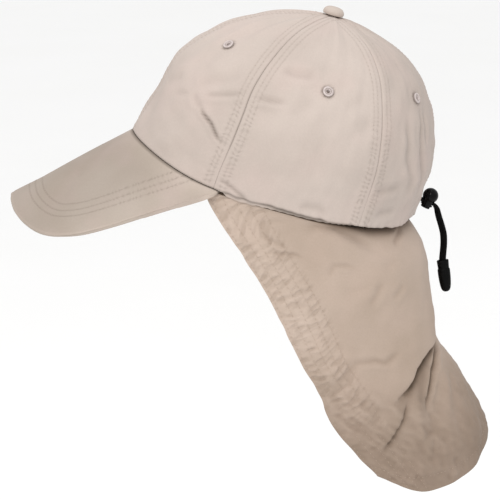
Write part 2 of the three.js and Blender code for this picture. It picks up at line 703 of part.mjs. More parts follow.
// Drawcord strands: from the space behind the casing, out through the seam, through the lock, down
// to the end. back, high: places in mm from the origin along Y and Z. turn: degrees that the pair
// has twisted, from side by side along X to one behind the other along Y.
const CORD_COLUMNS = { back: 0, high: 1, turn: 2 };
const slotPoint = lockCentre.clone().addScaledVector(lockDown, SLOT_DROP);
const slotOut = slotPoint.clone().addScaledVector(lockOut, LOCK_COLLAR / 2 + 0.6);
const slotIn = slotPoint.clone().addScaledVector(lockOut, -LOCK_COLLAR / 2 - 0.3);
const CORD_ROWS = [
  [exitPoint.y + exitNormal.y * 0.6, exitPoint.z + exitNormal.z * 0.6, 0],
  [slotIn.y, slotIn.z, 0],
  [slotPoint.y, slotPoint.z, 0],
  [slotOut.y, slotOut.z, 8],
  [105.5, -25.6, 30],
  [106.3, -28.6, 44],
  [107.2, -32.0, 53],
  [108.9, -37.4, 58],
  [110.4, -43.4, 60],
  [110.8, -49.8, 62],
  [110.5, -56.0, 72],
  [110.2, -61.4, 88],
  [110.8, -66.0, 90],
];
const STRAND_STEPS = 28;

function strandGeometry(side) {
  const inside = exitPoint.clone().addScaledVector(exitNormal, -CLOTH - SEAM_VALLEY - CORD_DIAMETER / 2 - 1.3);
  const route = [
    vec(side * 17, inside.y - 1.9, inside.z + 0.4),
    vec(side * 11, inside.y - 0.7, inside.z + 0.2),
    vec(side * 5, inside.y - 0.2, inside.z + 0.1),
    vec(side * 1.7, inside.y + 0.9, inside.z),
  ];
  for (const row of CORD_ROWS) {
    const turn = rad(row[CORD_COLUMNS.turn]);
    const spread = STRAND_SPREAD + GAP * 0.3 * Math.sin(turn);
    const across = side * spread * Math.cos(turn);
    const shift = side * spread * Math.sin(turn);
    route.push(vec(across, row[CORD_COLUMNS.back] + shift, row[CORD_COLUMNS.high]));
  }
  const path = new THREE.CatmullRomCurve3(route, false, 'centripetal');
  const circle = new THREE.Shape();
  circle.absarc(0, 0, CORD_DIAMETER / 2, 0, Math.PI * 2, false);
  return new THREE.ExtrudeGeometry(circle, { steps: STRAND_STEPS, extrudePath: path, curveSegments: 4 });
}

add('drawcord_strand_left', strandGeometry(1), CORD_COLOUR, 0.8);
add('drawcord_strand_right', strandGeometry(-1), CORD_COLOUR, 0.8);

export default cap;
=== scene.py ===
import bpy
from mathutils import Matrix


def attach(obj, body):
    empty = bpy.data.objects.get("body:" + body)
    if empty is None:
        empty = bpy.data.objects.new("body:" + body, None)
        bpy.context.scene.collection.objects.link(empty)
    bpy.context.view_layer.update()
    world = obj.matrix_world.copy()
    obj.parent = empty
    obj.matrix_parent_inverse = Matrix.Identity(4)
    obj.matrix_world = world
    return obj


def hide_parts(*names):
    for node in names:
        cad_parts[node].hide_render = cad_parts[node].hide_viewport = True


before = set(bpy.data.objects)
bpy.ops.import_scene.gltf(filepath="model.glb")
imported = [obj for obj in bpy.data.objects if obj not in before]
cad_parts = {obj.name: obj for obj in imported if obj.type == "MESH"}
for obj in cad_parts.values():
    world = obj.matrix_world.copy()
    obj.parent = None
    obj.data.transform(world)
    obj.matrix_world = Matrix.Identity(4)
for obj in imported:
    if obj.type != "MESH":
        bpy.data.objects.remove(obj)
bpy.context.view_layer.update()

import math
from functools import partial

import bmesh
import bpy
import numpy as np
from mathutils import Vector

MM = 0.001

# Sizes in mm and degrees, the same as the solids'. The brim points to -Y, the left side is +X.
CAP_TILT = 15
RIM_HALF_WIDTH = 81
FRONT_REACH = 111.6
BACK_REACH = 89.4
CROWN_HEIGHT = 120
CROWN_BASE = -8
TOP_SET_BACK = 4.6
CLOTH = 1.2
GAP = 0.3
BRIM_LENGTH = 94
BRIM_THICKNESS = 3
BRIM_DROOP = 28.4
BRIM_END = 63
BRIM_ARCH = 12.2
BRIM_TUCK = 1.1
SEAM_FRONT = 61
SEAM_BACK = 119.5
SEAM_VALLEY = 0.6
CASING_HEIGHT = 22
CASING_SHOWS = 2.4
CASING_INSET = 2.3
CORD_CHANNEL = 3.2
FLAP_LENGTH = 178
FLAP_HALF_WIDTH = 75
FLAP_START = 58.5
FLAP_TUCK = 12
EYELET_DIAMETER = 7.6
EYELET_BORE = 2.4
EYELET_WALL = 0.7
BUTTON_DIAMETER = 14.2
BUTTON_HEIGHT = 5.8
CORD_DIAMETER = 2.4
LOCK_DIAMETER = 10.7
LOCK_COLLAR = 8.3
LOCK_TRAVEL = 1.5
CORD_END_LENGTH = 22.5
CORD_END_WIDTH = 8.6
TOP_PLACE = 11.62
EXIT_RISE = 8.9
LOCK_LEAN = 25
SLOT_DROP = 4.5
PLUNGER_RADIUS = 3.2
PLUNGER_SHOWS = 1.8
# Mean radius at which the crown is laid flat, to place its creases, waves and weave.
FLAT_RADIUS = 92

# Crown sections from hem to top, as shares of its height and of its three reaches.
CROWN_HEIGHTS = [0, 0.1, 0.2, 0.31, 0.43, 0.55, 0.66, 0.76, 0.84, 0.905, 0.952, 0.983, 1]
CROWN_FRONT = [1, 0.984, 0.955, 0.92, 0.886, 0.85, 0.772, 0.662, 0.548, 0.418, 0.27, 0.13, 0]
CROWN_BACK = [1, 1.006, 1.022, 1.03, 1.002, 0.952, 0.883, 0.8, 0.688, 0.55, 0.375, 0.19, 0]
CROWN_SIDE = [1, 1.015, 1.025, 1.02, 0.99, 0.93, 0.84, 0.73, 0.61, 0.475, 0.32, 0.16, 0]
# Outer edge of the brim from its middle to its end.
BRIM_AT = [0, 0.14, 0.27, 0.4, 0.52, 0.63, 0.72, 0.79, 0.86, 0.92, 0.965, 1]
BRIM_SIDE = [0, 0.16, 0.31, 0.457, 0.592, 0.691, 0.759, 0.809, 0.852, 0.883, 0.907, 0.922]
BRIM_FORWARD = [0.992, 0.996, 0.993, 0.964, 0.91, 0.834, 0.73, 0.603, 0.403, 0.174, -0.052, -0.29]
BRIM_DROP = [-0.018, 0.004, 0.05, 0.122, 0.192, 0.254, 0.304, 0.347, 0.388, 0.427, 0.468, 0.512]
# Level sections of the hanging flap, as shares of its length and half width.
FLAP_DOWN = [0, 0.131, 0.258, 0.393, 0.522, 0.64, 0.758, 0.871, 0.983, 1.096, 1.191]
FLAP_FRONT = [-0.337, -0.236, -0.154, -0.073, -0.012, 0.044, 0.112, 0.155, 0.24, 0.335, 0.42]
FLAP_BACK = [0.472, 0.488, 0.532, 0.564, 0.58, 0.595, 0.676, 0.744, 0.804, 0.806, 0.8]
FLAP_WIDTH = [0.987, 1, 1, 1, 0.987, 0.973, 0.96, 0.947, 0.933, 0.92, 0.907]
# Lower edge of the flap from the centre back to the front edge.
EDGE_AT = [0, 0.2, 0.3, 0.4, 0.55, 0.7, 0.85, 0.94, 1]
EDGE_DOWN = [1.02, 1.046, 1.081, 1.11, 1.136, 1.149, 1.153, 1.122, 1.075]
# Vent eyelets: degrees from the front and share of the crown's height.
EYELETS = {"front": (33, 0.73), "side": (91, 0.658), "back": (146.7, 0.704)}
PANELS = {"front": (0, SEAM_FRONT), "side": (SEAM_FRONT, SEAM_BACK), "back": (SEAM_BACK, 180)}


def smooth(value):
    t = np.clip(value, 0, 1)
    return t * t * (3 - 2 * t)


def bell(value):
    return np.exp(-value * value)


def unit(v):
    v = np.asarray(v, float)
    return v / np.maximum(np.linalg.norm(v, axis=-1, keepdims=True), 1e-9)


def spline(values, place):
    """A smooth curve through evenly spaced values, read at a place counted in steps."""
    v = np.asarray(values, float)
    last = len(v) - 1
    p = np.clip(place, 0, last)
    i = np.minimum(np.floor(p).astype(int), last - 1)
    t = p - i
    a, b, c, d = (v[np.clip(i + k, 0, last)] for k in (-1, 0, 1, 2))
    bend = (2 * a - 5 * b + 4 * c - d) * t * t + (3 * b - 3 * c + d - a) * t * t * t
    return 0.5 * (2 * b + (c - a) * t + bend)


def place_of(values, value):
    """Place, in steps, at which rising values reach a value."""
    v = np.asarray(values, float)
    i = np.clip(np.searchsorted(v, value, side="left") - 1, 0, len(v) - 2)
    return i + (value - v[i]) / (v[i + 1] - v[i])


def tilted(x, u, w):
    """A point of the level cap turned back by its tilt, as it sits in the photograph."""
    c, s = math.cos(math.radians(CAP_TILT)), math.sin(math.radians(CAP_TILT))
    return np.stack(np.broadcast_arrays(x, u * c + w * s, w * c - u * s), -1).astype(float)


def hem_height(turn):
    """Height of the hem over the rim: arched over the brim, sagging at the sides, raised at the back."""
    a = np.abs(turn)
    front = BRIM_ARCH * np.cos(np.radians(90 * np.clip(a / BRIM_END, 0, 1))) ** 1.2
    return front + 5.5 * smooth((a - 131) / 38) - 1.4 * bell((a - 105) / 38)


def crown_place(height):
    return place_of(CROWN_HEIGHTS, height / CROWN_HEIGHT)


def hem_place(turn):
    return crown_place(hem_height(turn))


def crown_wall(turn, place):
    """The crown's plain shape, by degrees round from the front and place among its sections."""
    ahead = np.cos(np.radians(turn))
    front = FRONT_REACH * spline(CROWN_FRONT, place)
    back = BACK_REACH * spline(CROWN_BACK, place)
    x = RIM_HALF_WIDTH * spline(CROWN_SIDE, place) * np.sin(np.radians(turn))
    w = CROWN_BASE + CROWN_HEIGHT * spline(CROWN_HEIGHTS, place)
    return tilted(x, TOP_SET_BACK - np.where(ahead > 0, front, back) * ahead, w)


def crown_point(turn, place):
    """The same shape, carried on straight below its first section."""
    turn, place = np.broadcast_arrays(np.asarray(turn, float), np.asarray(place, float))
    first = crown_wall(turn, np.zeros_like(place))
    straight = first + (crown_wall(turn, np.full_like(place, 0.5)) - first) * (place * 2)[..., None]
    return np.where((place < 0)[..., None], straight, crown_wall(turn, place))


def crown_normal(turn, place):
    turn, place = np.broadcast_arrays(np.asarray(turn, float), np.asarray(place, float))
    p = np.clip(place, 0.05, len(CROWN_HEIGHTS) - 1.35)
    along = crown_point(turn + 0.5, p) - crown_point(turn - 0.5, p)
    up = crown_point(turn, p + 0.05) - crown_point(turn, p - 0.05)
    return unit(np.cross(along, up))


def crown_radius(turn, place):
    axis, up = tilted(0, TOP_SET_BACK, 0), tilted(0, 0, 1)
    arm = crown_point(turn, place) - axis
    return np.linalg.norm(arm - (arm @ up)[..., None] * up, axis=-1)


def inset_point(turn, rise, inset):
    """A point inside the crown, by its rise above the hem and its depth behind the wall in mm."""
    place = crown_place(hem_height(turn) + rise)
    return crown_point(turn, place) - crown_normal(turn, hem_place(turn)) * np.asarray(inset)[..., None]


def back_space(turn):
    """Room left for the drawcord between crown and casing, in mm."""
    a = np.abs(turn)
    return CORD_CHANNEL * smooth((a - 100) / 25) + 2 * bell((a - 130) / 16)


def swell(x, y, seed, wave):
    """Slow uneven waves of cloth, about -1 to 1, the same on every run."""
    rng = np.random.default_rng(seed)
    total = np.zeros(np.broadcast(x, y).shape)
    for _ in range(9):
        heading = rng.uniform(0, math.pi)
        size = wave * rng.uniform(0.6, 1.9)
        aside = x * math.sin(heading) - y * math.cos(heading)
        bend = 0.6 * np.sin(aside / (size * 0.7) + rng.uniform(0, 6.3))
        phase = (x * math.cos(heading) + y * math.sin(heading)) * 2 * math.pi / size
        total += np.sin(phase + bend + rng.uniform(0, 6.3))
    return total / 4.2


def faded(part, start, end):
    """Fades a fold out toward the two ends of its line."""
    return np.where((part <= 0) | (part >= 1), 0, smooth(part / start) * smooth((1 - part) / end))


def beside_line(x, y, line):
    """Share of the way along a line, signed distance to its right-hand side, and its direction."""
    line = np.asarray(line, float)
    steps = np.linalg.norm(np.diff(line, axis=0), axis=1)
    done = np.concatenate([[0], np.cumsum(steps)]) / steps.sum()
    shape = np.broadcast(x, y).shape
    best, part, signed = np.full(shape, 1e9), np.zeros(shape), np.zeros(shape)
    toward = np.zeros(shape + (2,))
    for i, (start, end) in enumerate(zip(line, line[1:])):
        dx, dy = end - start
        raw = ((x - start[0]) * dx + (y - start[1]) * dy) / (dx * dx + dy * dy)
        t = np.clip(raw, 0, 1)
        px, py = x - (start[0] + t * dx), y - (start[1] + t * dy)
        far = np.hypot(px, py)
        closer = far < best
        best = np.where(closer, far, best)
        part = np.where(closer, done[i] + t * (done[i + 1] - done[i]), part)
        signed = np.where(closer, np.sign(px * dy - py * dx) * far, signed)
        toward[closer] = (dy / steps[i], -dx / steps[i])
    return part, signed, toward


# ---------------------------------------------------------------- materials

def linear(code):
    """An sRGB hex colour as linear red, green, blue and alpha."""
    channels = [int(code[i:i + 2], 16) / 255 for i in (1, 3, 5)]
    return [c / 12.92 if c <= 0.04045 else ((c + 0.055) / 1.055) ** 2.4 for c in channels] + [1.0]


def node(tree, kind, *values, out=0, **named):
    """Adds one node. Values go to its inputs in order; a capitalised name is an input, any other a
    setting; "Math.ADD" is a kind and its operation. Gives the output asked for, or all with None."""
    kind, _, operation = kind.partition(".")
    made = tree.nodes.new(kind if "Node" in kind else "ShaderNode" + kind)
    if operation:
        made.operation = operation
    for key, value in named.items():
        if key[0].islower():
            setattr(made, key, value)
    pairs = list(zip([slot for slot in made.inputs if slot.enabled], values))
    pairs += [(made.inputs[key.replace("_", " ")], value) for key, value in named.items() if key[0].isupper()]
    for slot, value in pairs:
        if isinstance(value, bpy.types.NodeSocket):
            tree.links.new(value, slot)
        else:
            slot.default_value = value
    if out is None or isinstance(out, str):
        return made.outputs[out] if out else made.outputs
    return [socket for socket in made.outputs if socket.enabled][out]


def new_material(name):
    """An empty material, and the call that adds a node to it."""
    material = bpy.data.materials.new(name)
    material.use_nodes = True
    material.node_tree.nodes.clear()
    return material, partial(node, material.node_tree)


def finish_material(add, **inputs):
    add("OutputMaterial", add("BsdfPrincipled", **inputs), out=None)


def flat_map(add, name):
    """The two values of one of the piece's own maps, back in mm."""
    cut = add("SeparateXYZ", add("UVMap", uv_map=name), out=None)
    return [add("Math.MULTIPLY", cut[k], 1000.0) for k in (0, 1)]


THREADS_DRAWN = 0.9
NEEDLE_PITCH = 3.3


def woven_cloth(name, plain, shade, warm, rows=(), groove=0.04, gathered=False, browning=0.03):
    """Microfibre nylon in a tight plain weave: a smooth, faintly brushed matt cloth whose tone drifts
    by a few shades over a hand's width. Threads are 0.3 mm apart; they are drawn at 0.9 mm to show.
    rows are the distances of the sewn rows from the edge or seam, in mm: each is a fine groove with
    a pucker at every needle hole, both with painted shade. Gathered cloth also has short slanting
    wrinkles between its rows, with painted shade.
    The tone map holds the light and shade painted on each place, and how hard the thread pulls there."""
    material, add = new_material(name)
    place = add("TexCoord", out="Object")
    # Noise counts in cells to the metre: drift over 70 mm, a warm flush over 30 mm, slubs of 1.1 mm.
    drift = add("TexNoise", Vector=place, Scale=14.0, Detail=3.0, Roughness=0.55)
    flush = add("TexNoise", Vector=place, Scale=33.0, Detail=2.0, Roughness=0.5)
    slub = add("TexNoise", Vector=place, Scale=900.0, Detail=2.0, Roughness=0.6)
    colour = add("Mix", add("MapRange", drift, 0.38, 0.64), linear(plain), linear(shade), data_type="RGBA")
    rosy = add("MapRange", flush, 0.45, 0.75, 0.0, 0.5)
    colour = add("Mix", rosy, colour, linear(warm), data_type="RGBA")
    grain = add("MapRange", slub, 0.3, 0.7, 0.965, 1.02)
    warp, weft = (add("Math.SINE", add("Math.MULTIPLY", run, 2 * math.pi / THREADS_DRAWN))
                  for run in flat_map(add, "weave"))
    threads = add("Math.MULTIPLY", warp, weft)
    height = add("Math.ADD", add("Math.MULTIPLY", threads, 0.016), add("Math.MULTIPLY", slub, 0.03))
    painted_shading, pulled = flat_map(add, "tone")
    if rows:
        run, away = flat_map(add, "rows")
        # The needle's beat wanders, so that the puckers don't line up.
        wander = add("TexNoise", Vector=place, Scale=130.0, Detail=1.0)
        beat = add("Math.ADD", add("Math.MULTIPLY", run, 2 * math.pi / NEEDLE_PITCH),
                   add("Math.MULTIPLY", wander, 16.0))
        hole = add("Math.POWER", add("Math.MULTIPLY_ADD", add("Math.SINE", beat), 0.5, 0.5), 2.0)
        lines = puckers = 0.0
        for row in rows:
            offset = add("Math.SUBTRACT", away, row)
            square = add("Math.MULTIPLY", offset, offset)
            lines = add("Math.ADD", lines, add("Math.EXPONENT", add("Math.DIVIDE", square, -0.3)))
            puckers = add("Math.ADD", puckers, add("Math.EXPONENT", add("Math.DIVIDE", square, -1.4)))
        puckers = add("Math.MULTIPLY", add("Math.MULTIPLY", puckers, hole), pulled)
        lines = add("Math.MULTIPLY", lines, add("Math.MAXIMUM", add("Math.SUBTRACT", 1.3, pulled), 0.3))
        if gathered:
            puckers = add("Math.MULTIPLY", puckers, 0.35)
        height = add("Math.MULTIPLY_ADD", lines, -1.2 * groove, height)
        height = add("Math.MULTIPLY_ADD", puckers, -0.3, height)
        # Painted shade in the grooves and puckers of the sewn rows.
        grain = add("Math.MULTIPLY_ADD", lines, -groove, grain)
        grain = add("Math.MULTIPLY_ADD", puckers, -0.13, grain)
    if gathered:
        # Wrinkles 3.6 mm apart run aslant and end where the wide hem does, 29 to 36 mm in.
        across = add("Math.ADD", add("Math.MULTIPLY", away, 1.15), add("Math.MULTIPLY", run, 1.33))
        slant = add("CombineXYZ", add("Math.DIVIDE", away, 10.0), add("Math.DIVIDE", across, 3.6))
        crumple = add("TexNoise", Vector=slant, Scale=1.0, Detail=0.4, Roughness=0.5)
        wrinkle = add("MapRange", crumple, 0.46, 0.72, interpolation_type="SMOOTHSTEP")
        band = add("MapRange", away, 36.0, 29.0, interpolation_type="SMOOTHSTEP")
        wrinkle = add("Math.MULTIPLY", wrinkle, add("Math.MULTIPLY", band, pulled))
        height = add("Math.MULTIPLY_ADD", wrinkle, -0.9, height)
        # Painted shade in the wrinkles.
        grain = add("Math.MULTIPLY_ADD", wrinkle, -0.12, grain)
    # Painted light and shade from the tone map.
    grain = add("Math.MULTIPLY", grain, painted_shading)
    # Shade on this cloth is warmer than the cloth in the light.
    grey = add("CombineColor", grain, add("Math.POWER", grain, 1 + browning),
               add("Math.POWER", grain, 1 + 2.2 * browning))
    colour = add("Mix", 1.0, colour, grey, data_type="RGBA", blend_type="MULTIPLY")
    finish_material(add, Base_Color=colour, Roughness=add("MapRange", slub, 0.3, 0.7, 0.74, 0.9),
                    Normal=add("Bump", Strength=0.6, Distance=MM, Height=height),
                    Specular_IOR_Level=0.22, Sheen_Weight=0.04, Sheen_Roughness=0.5)
    return material


# Distances of the sewn rows from the seam, from the brim's edge and from the flap's front edge.
CROWN_ROWS_SEWN = [3.4, 6.2]
BRIM_ROWS_SEWN = [14.6, 19.2, 24.4]
FLAP_ROWS_SEWN = [2.2, 9.5, 16.5, 23.5, 30.5]
crown_cloth = woven_cloth("woven_nylon_crown", "#bfb3ab", "#b6aaa2", "#c3b2ab", CROWN_ROWS_SEWN, 0.05)
casing_cloth = woven_cloth("woven_nylon_casing", "#bfb2a9", "#b4a79e", "#c1b1a8")
button_cloth = woven_cloth("woven_nylon_button", "#bdb1a8", "#b4a89e", "#bfafa7")
brim_cloth = woven_cloth("woven_nylon_brim", "#a59a90", "#9d9186", "#ac9c95", BRIM_ROWS_SEWN, 0.1)
flap_cloth = woven_cloth("woven_nylon_flap", "#b3a295", "#aa998b", "#baa79a", FLAP_ROWS_SEWN, 0.0, True, 0.1)


def sewing_thread(name, plain, shade):
    """Spun polyester thread, two plies twisted every 0.45 mm: a little fuzzy, a shade off the cloth."""
    material, add = new_material(name)
    ply = add("TexNoise", Vector=add("TexCoord", out="Object"), Scale=2200.0, Detail=2.0)
    colour = add("Mix", add("MapRange", ply, 0.35, 0.65), linear(plain), linear(shade), data_type="RGBA")
    finish_material(add, Base_Color=colour, Roughness=0.8, Specular_IOR_Level=0.3,
                    Normal=add("Bump", Strength=0.5, Distance=0.1 * MM, Height=ply))
    return material


pale_thread = sewing_thread("polyester_thread_pale", "#bcb0a7", "#a89c93")
tan_thread = sewing_thread("polyester_thread_tan", "#a99d92", "#9c9085")
flap_thread = sewing_thread("polyester_thread_flap", "#ae9c8e", "#9f8d7e")


def painted_brass():
    """Brass eyelet sprayed to match the cloth: a satin skin with the spray's fine pebble, 0.6 mm
    across. Shade is painted into the groove round the bore and under the roll's outer edge."""
    material, add = new_material("painted_brass")
    place = add("TexCoord", out="Object")
    pebble = add("TexNoise", Vector=place, Scale=1800.0, Detail=2.0)
    patch = add("TexNoise", Vector=place, Scale=420.0, Detail=3.0)
    radius, rim = flat_map(add, "rows")[0], EYELET_DIAMETER / 2
    groove = add("Math.DIVIDE", add("Math.SUBTRACT", radius, rim - 1.85), 0.32)
    groove = add("Math.EXPONENT", add("Math.MULTIPLY", add("Math.MULTIPLY", groove, groove), -1.0))
    brink = add("MapRange", radius, rim - 0.55, rim - 0.1)
    # Painted shade in the groove round the bore and under the roll's outer edge.
    groove_shade = add("Math.MINIMUM", add("Math.ADD", add("Math.MULTIPLY", groove, 0.75), brink), 1.0)
    paint = add("Mix", add("MapRange", patch, 0.45, 0.7), linear("#c4b9b6"), linear("#aea29e"),
                data_type="RGBA")
    finish_material(add, Base_Color=add("Mix", groove_shade, paint, linear("#8c807b"), data_type="RGBA"),
                    Roughness=add("MapRange", pebble, 0.3, 0.7, 0.34, 0.5), Specular_IOR_Level=0.5,
                    Normal=add("Bump", Strength=0.3, Distance=0.08 * MM, Height=pebble))
    return material


def moulded_plastic(name, plain, shade, low_rough, high_rough, pebble_size, shine):
    """Injection-moulded acetal or PVC: near black, a faint skin from the mould, rubbed duller by
    handling in patches 4 mm across."""
    material, add = new_material(name)
    place = add("TexCoord", out="Object")
    skin = add("TexNoise", Vector=place, Scale=1000.0 / pebble_size, Detail=2.0)
    rub = add("TexNoise", Vector=place, Scale=260.0, Detail=4.0)
    colour = add("Mix", add("MapRange", rub, 0.4, 0.7), linear(plain), linear(shade), data_type="RGBA")
    finish_material(add, Base_Color=colour, Specular_IOR_Level=shine,
                    Roughness=add("MapRange", rub, 0.35, 0.7, low_rough, high_rough),
                    Normal=add("Bump", Strength=0.35, Distance=0.06 * MM, Height=skin))
    return material


eyelet_paint = painted_brass()
lock_plastic = moulded_plastic("moulded_acetal", "#050506", "#0a0a0b", 0.12, 0.24, 0.5, 0.13)
end_plastic = moulded_plastic("moulded_soft_pvc", "#050505", "#0a0a0a", 0.4, 0.55, 0.3, 0.08)

YARNS_AROUND = 6
YARN_PITCH = 1.1


def braided_elastic():
    """Round elastic cord in a braided polyester sleeve: dull black, with a grey painted highlight where a
    yarn stands up. Its yarns of 0.5 mm cross in two directions; they are drawn 1.1 mm apart to show."""
    material, add = new_material("braided_elastic")
    cut = add("SeparateXYZ", add("UVMap", uv_map="braid"), out=None)
    around = add("Math.MULTIPLY", cut[0], 2 * math.pi * YARNS_AROUND)
    along = add("Math.MULTIPLY", cut[1], 2 * math.pi / (YARN_PITCH * MM))
    left = add("Math.SINE", add("Math.ADD", around, along))
    right = add("Math.SINE", add("Math.SUBTRACT", around, along))
    yarn = add("Math.MAXIMUM", left, right)
    # Painted highlight where a yarn stands up.
    stands = add("MapRange", yarn, 0.2, 1.0)
    colour = add("Mix", stands, linear("#050505"), linear("#0e0d0e"), data_type="RGBA")
    finish_material(add, Base_Color=colour, Roughness=0.85, Specular_IOR_Level=0.12,
                    Normal=add("Bump", Strength=0.8, Distance=0.22 * MM, Height=yarn))
    return material


cord_elastic = braided_elastic()


# ---------------------------------------------------------------- meshes

def make_piece(name, points, faces, material, maps=None, sharp=50):
    """A mesh from points in mm, loose points dropped, its faces turned to point outwards."""
    points = np.asarray(points, float).reshape(-1, 3)
    used, flat = np.unique(np.concatenate([np.ravel(f) for f in faces]), return_inverse=True)
    sizes = np.concatenate([np.full(len(f), f.shape[1]) for f in faces])
    points = points[used]
    ends = np.cumsum(sizes)
    loops = [flat[end - size:end] for end, size in zip(ends, sizes)]
    fans = np.array([(loop[0], loop[k], loop[k + 1]) for loop in loops for k in range(1, len(loop) - 1)])
    a, b, c = (points[fans[:, k]] for k in range(3))
    if np.einsum("ij,ij->i", a, np.cross(b, c)).sum() < 0:
        loops = [loop[::-1] for loop in loops]
    mesh = bpy.data.meshes.new(name)
    mesh.from_pydata((points * MM).tolist(), [], [loop.tolist() for loop in loops])
    order = np.empty(len(mesh.loops), dtype=np.int32)
    mesh.loops.foreach_get("vertex_index", order)
    maps = dict(maps or {})
    if "weave" in maps and "tone" not in maps:
        maps["tone"] = np.stack([np.ones(np.asarray(maps["weave"]).size // 2)] * 2, -1)
    for label, values in maps.items():
        layer = mesh.uv_layers.new(name=label)
        values = np.asarray(values, float).reshape(-1, 2)[used] * MM
        layer.data.foreach_set("uv", values[order].astype(np.float32).ravel())
    mesh.shade_smooth()
    mesh.set_sharp_from_angle(angle=math.radians(sharp))
    mesh.materials.append(material)
    mesh.update()
    piece = bpy.data.objects.new(name, mesh)
    bpy.context.scene.collection.objects.link(piece)
    return piece


def shell_faces(rows, cols, keep=None, wrap=False):
    """Faces of a wall between an outer and an inner grid, closed at its edges and round its holes."""
    cells = cols if wrap else cols - 1
    keep = np.ones((rows - 1, cells), bool) if keep is None else keep
    half = rows * cols
    r, c = np.nonzero(keep)
    a, b = r * cols + c, r * cols + (c + 1) % cols
    e, d = a + cols, b + cols
    faces = [np.stack([a, b, d, e], -1), half + np.stack([a, e, d, b], -1)]
    around = np.pad(keep, 1)
    if wrap:
        around[1:-1, 0], around[1:-1, -1] = keep[:, -1], keep[:, 0]
    below, above = ~around[r, c + 1], ~around[r + 2, c + 1]
    before, after = ~around[r + 1, c], ~around[r + 1, c + 2]
    for open_side, p, q in ((below, a, b), (above, d, e), (before, e, a), (after, b, d)):
        faces.append(np.stack([p, half + p, half + q, q], -1)[open_side])
    return [f for f in faces if len(f)]


def shell_piece(name, outer, inner, material, maps, keep=None, wrap=False, sharp=50):
    """A wall between an outer and an inner grid of points; each map has one pair for each point."""
    points = np.concatenate([outer.reshape(-1, 3), inner.reshape(-1, 3)])
    both = {label: np.concatenate([grid.reshape(-1, 2)] * 2) for label, grid in maps.items()}
    return make_piece(name, points, shell_faces(*outer.shape[:2], keep, wrap), material, both, sharp)


def frame_of(direction):
    """Three unit vectors, the last one along a direction and the first level."""
    along = unit(direction)
    side = np.array([1.0, 0, 0]) if abs(along[0]) < 0.9 else np.array([0, 1.0, 0])
    across = unit(np.cross(side, along))
    return np.stack([unit(np.cross(along, across)), across, along])


def turned_piece(name, profile, sides, material, origin, direction, squeeze=1.0, sharp=40, wobble=None):
    """A turned shape from (radius, height) points, set on a direction; squeeze narrows it along its
    first axis, wobble varies its radius. Its rows map holds radius and height."""
    profile = np.asarray(profile, float)
    angle = np.arange(sides) * 2 * math.pi / sides
    radius = np.repeat(profile[:, :1], sides, 1)
    if wobble is not None:
        radius = radius * wobble(angle[None, :], profile[:, 1:2])
    ring = np.stack([radius * np.cos(angle) * squeeze, radius * np.sin(angle),
                     np.repeat(profile[:, 1:], sides, 1)], -1).reshape(-1, 3)
    faces, count, k = [], len(profile), np.arange(sides)
    closed = np.allclose(profile[0], profile[-1])
    for i in range(count - 1):
        low, high = i * sides, 0 if closed and i == count - 2 else (i + 1) * sides
        faces.append(np.stack([low + k, low + (k + 1) % sides, high + (k + 1) % sides, high + k], -1))
    piece = make_piece(name, origin + ring @ frame_of(direction), faces, material, sharp=sharp,
                       maps={"weave": ring[:, :2] + ring[:, 2:3] * 0.7,
                             "rows": np.stack([np.hypot(ring[:, 0], ring[:, 1]), ring[:, 2]], -1)})
    weld(piece)
    return piece


def weld(piece):
    """Joins the points that fall together, as at a pole, and turns the faces outwards again."""
    work = bmesh.new()
    work.from_mesh(piece.data)
    bmesh.ops.remove_doubles(work, verts=work.verts, dist=1e-6)
    bmesh.ops.recalc_face_normals(work, faces=work.faces)
    work.to_mesh(piece.data)
    work.free()
    piece.data.update()


def carved(piece, cutters):
    """The piece less each cutter, as one plain mesh."""
    for cutter in cutters:
        modifier = piece.modifiers.new("slot", "BOOLEAN")
        modifier.operation, modifier.solver, modifier.object = "DIFFERENCE", "EXACT", cutter
    baked = bpy.data.meshes.new_from_object(piece.evaluated_get(bpy.context.evaluated_depsgraph_get()))
    piece.modifiers.clear()
    material = piece.data.materials[0]
    piece.data = baked
    baked.materials.clear()
    baked.materials.append(material)
    baked.polygons.foreach_set("material_index", [0] * len(baked.polygons))
    baked.set_sharp_from_angle(angle=math.radians(35))
    for cutter in cutters:
        bpy.data.objects.remove(cutter)
    return piece


def block(origin, axes, low, high):
    """A box that cuts a slot, from its two far corners in mm along the axes."""
    corners = np.array([[x, y, z] for x in (0, 1) for y in (0, 1) for z in (0, 1)])
    low, high = np.asarray(low, float), np.asarray(high, float)
    points = origin + (low + corners * (high - low)) @ axes
    faces = np.array([[0, 1, 3, 2], [4, 6, 7, 5], [0, 4, 5, 1], [2, 3, 7, 6], [0, 2, 6, 4], [1, 5, 7, 3]])
    return make_piece("cutter", points, [faces], lock_plastic)


def dress(piece, slot, *nodes, body="cap"):
    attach(piece, body)
    if nodes:
        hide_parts(*nodes)
    return piece


# ---------------------------------------------------------------- camera and light

# The photograph's view: 86.5 degrees round from the front and 13.5 up, 0.68 mm to a pixel.
AZIMUTH, ELEVATION, DISTANCE, LENS = math.radians(86.5), math.radians(13.5), 1.6, 169.4
SENSOR_WIDTH, FILL_LIGHT = 36, 0.93
target = np.array([0, -0.0218, -0.053])
backward = np.array([math.sin(AZIMUTH) * math.cos(ELEVATION), -math.cos(AZIMUTH) * math.cos(ELEVATION),
                     math.sin(ELEVATION)])


def facing(name, data, place, aim):
    """A camera or light at a place, turned to look at a point."""
    thing = bpy.data.objects.new(name, data)
    bpy.context.scene.collection.objects.link(thing)
    thing.location = [float(v) for v in place]
    look = thing.location - Vector([float(v) for v in aim])
    thing.rotation_euler = look.to_track_quat("Z", "Y").to_euler()
    return thing


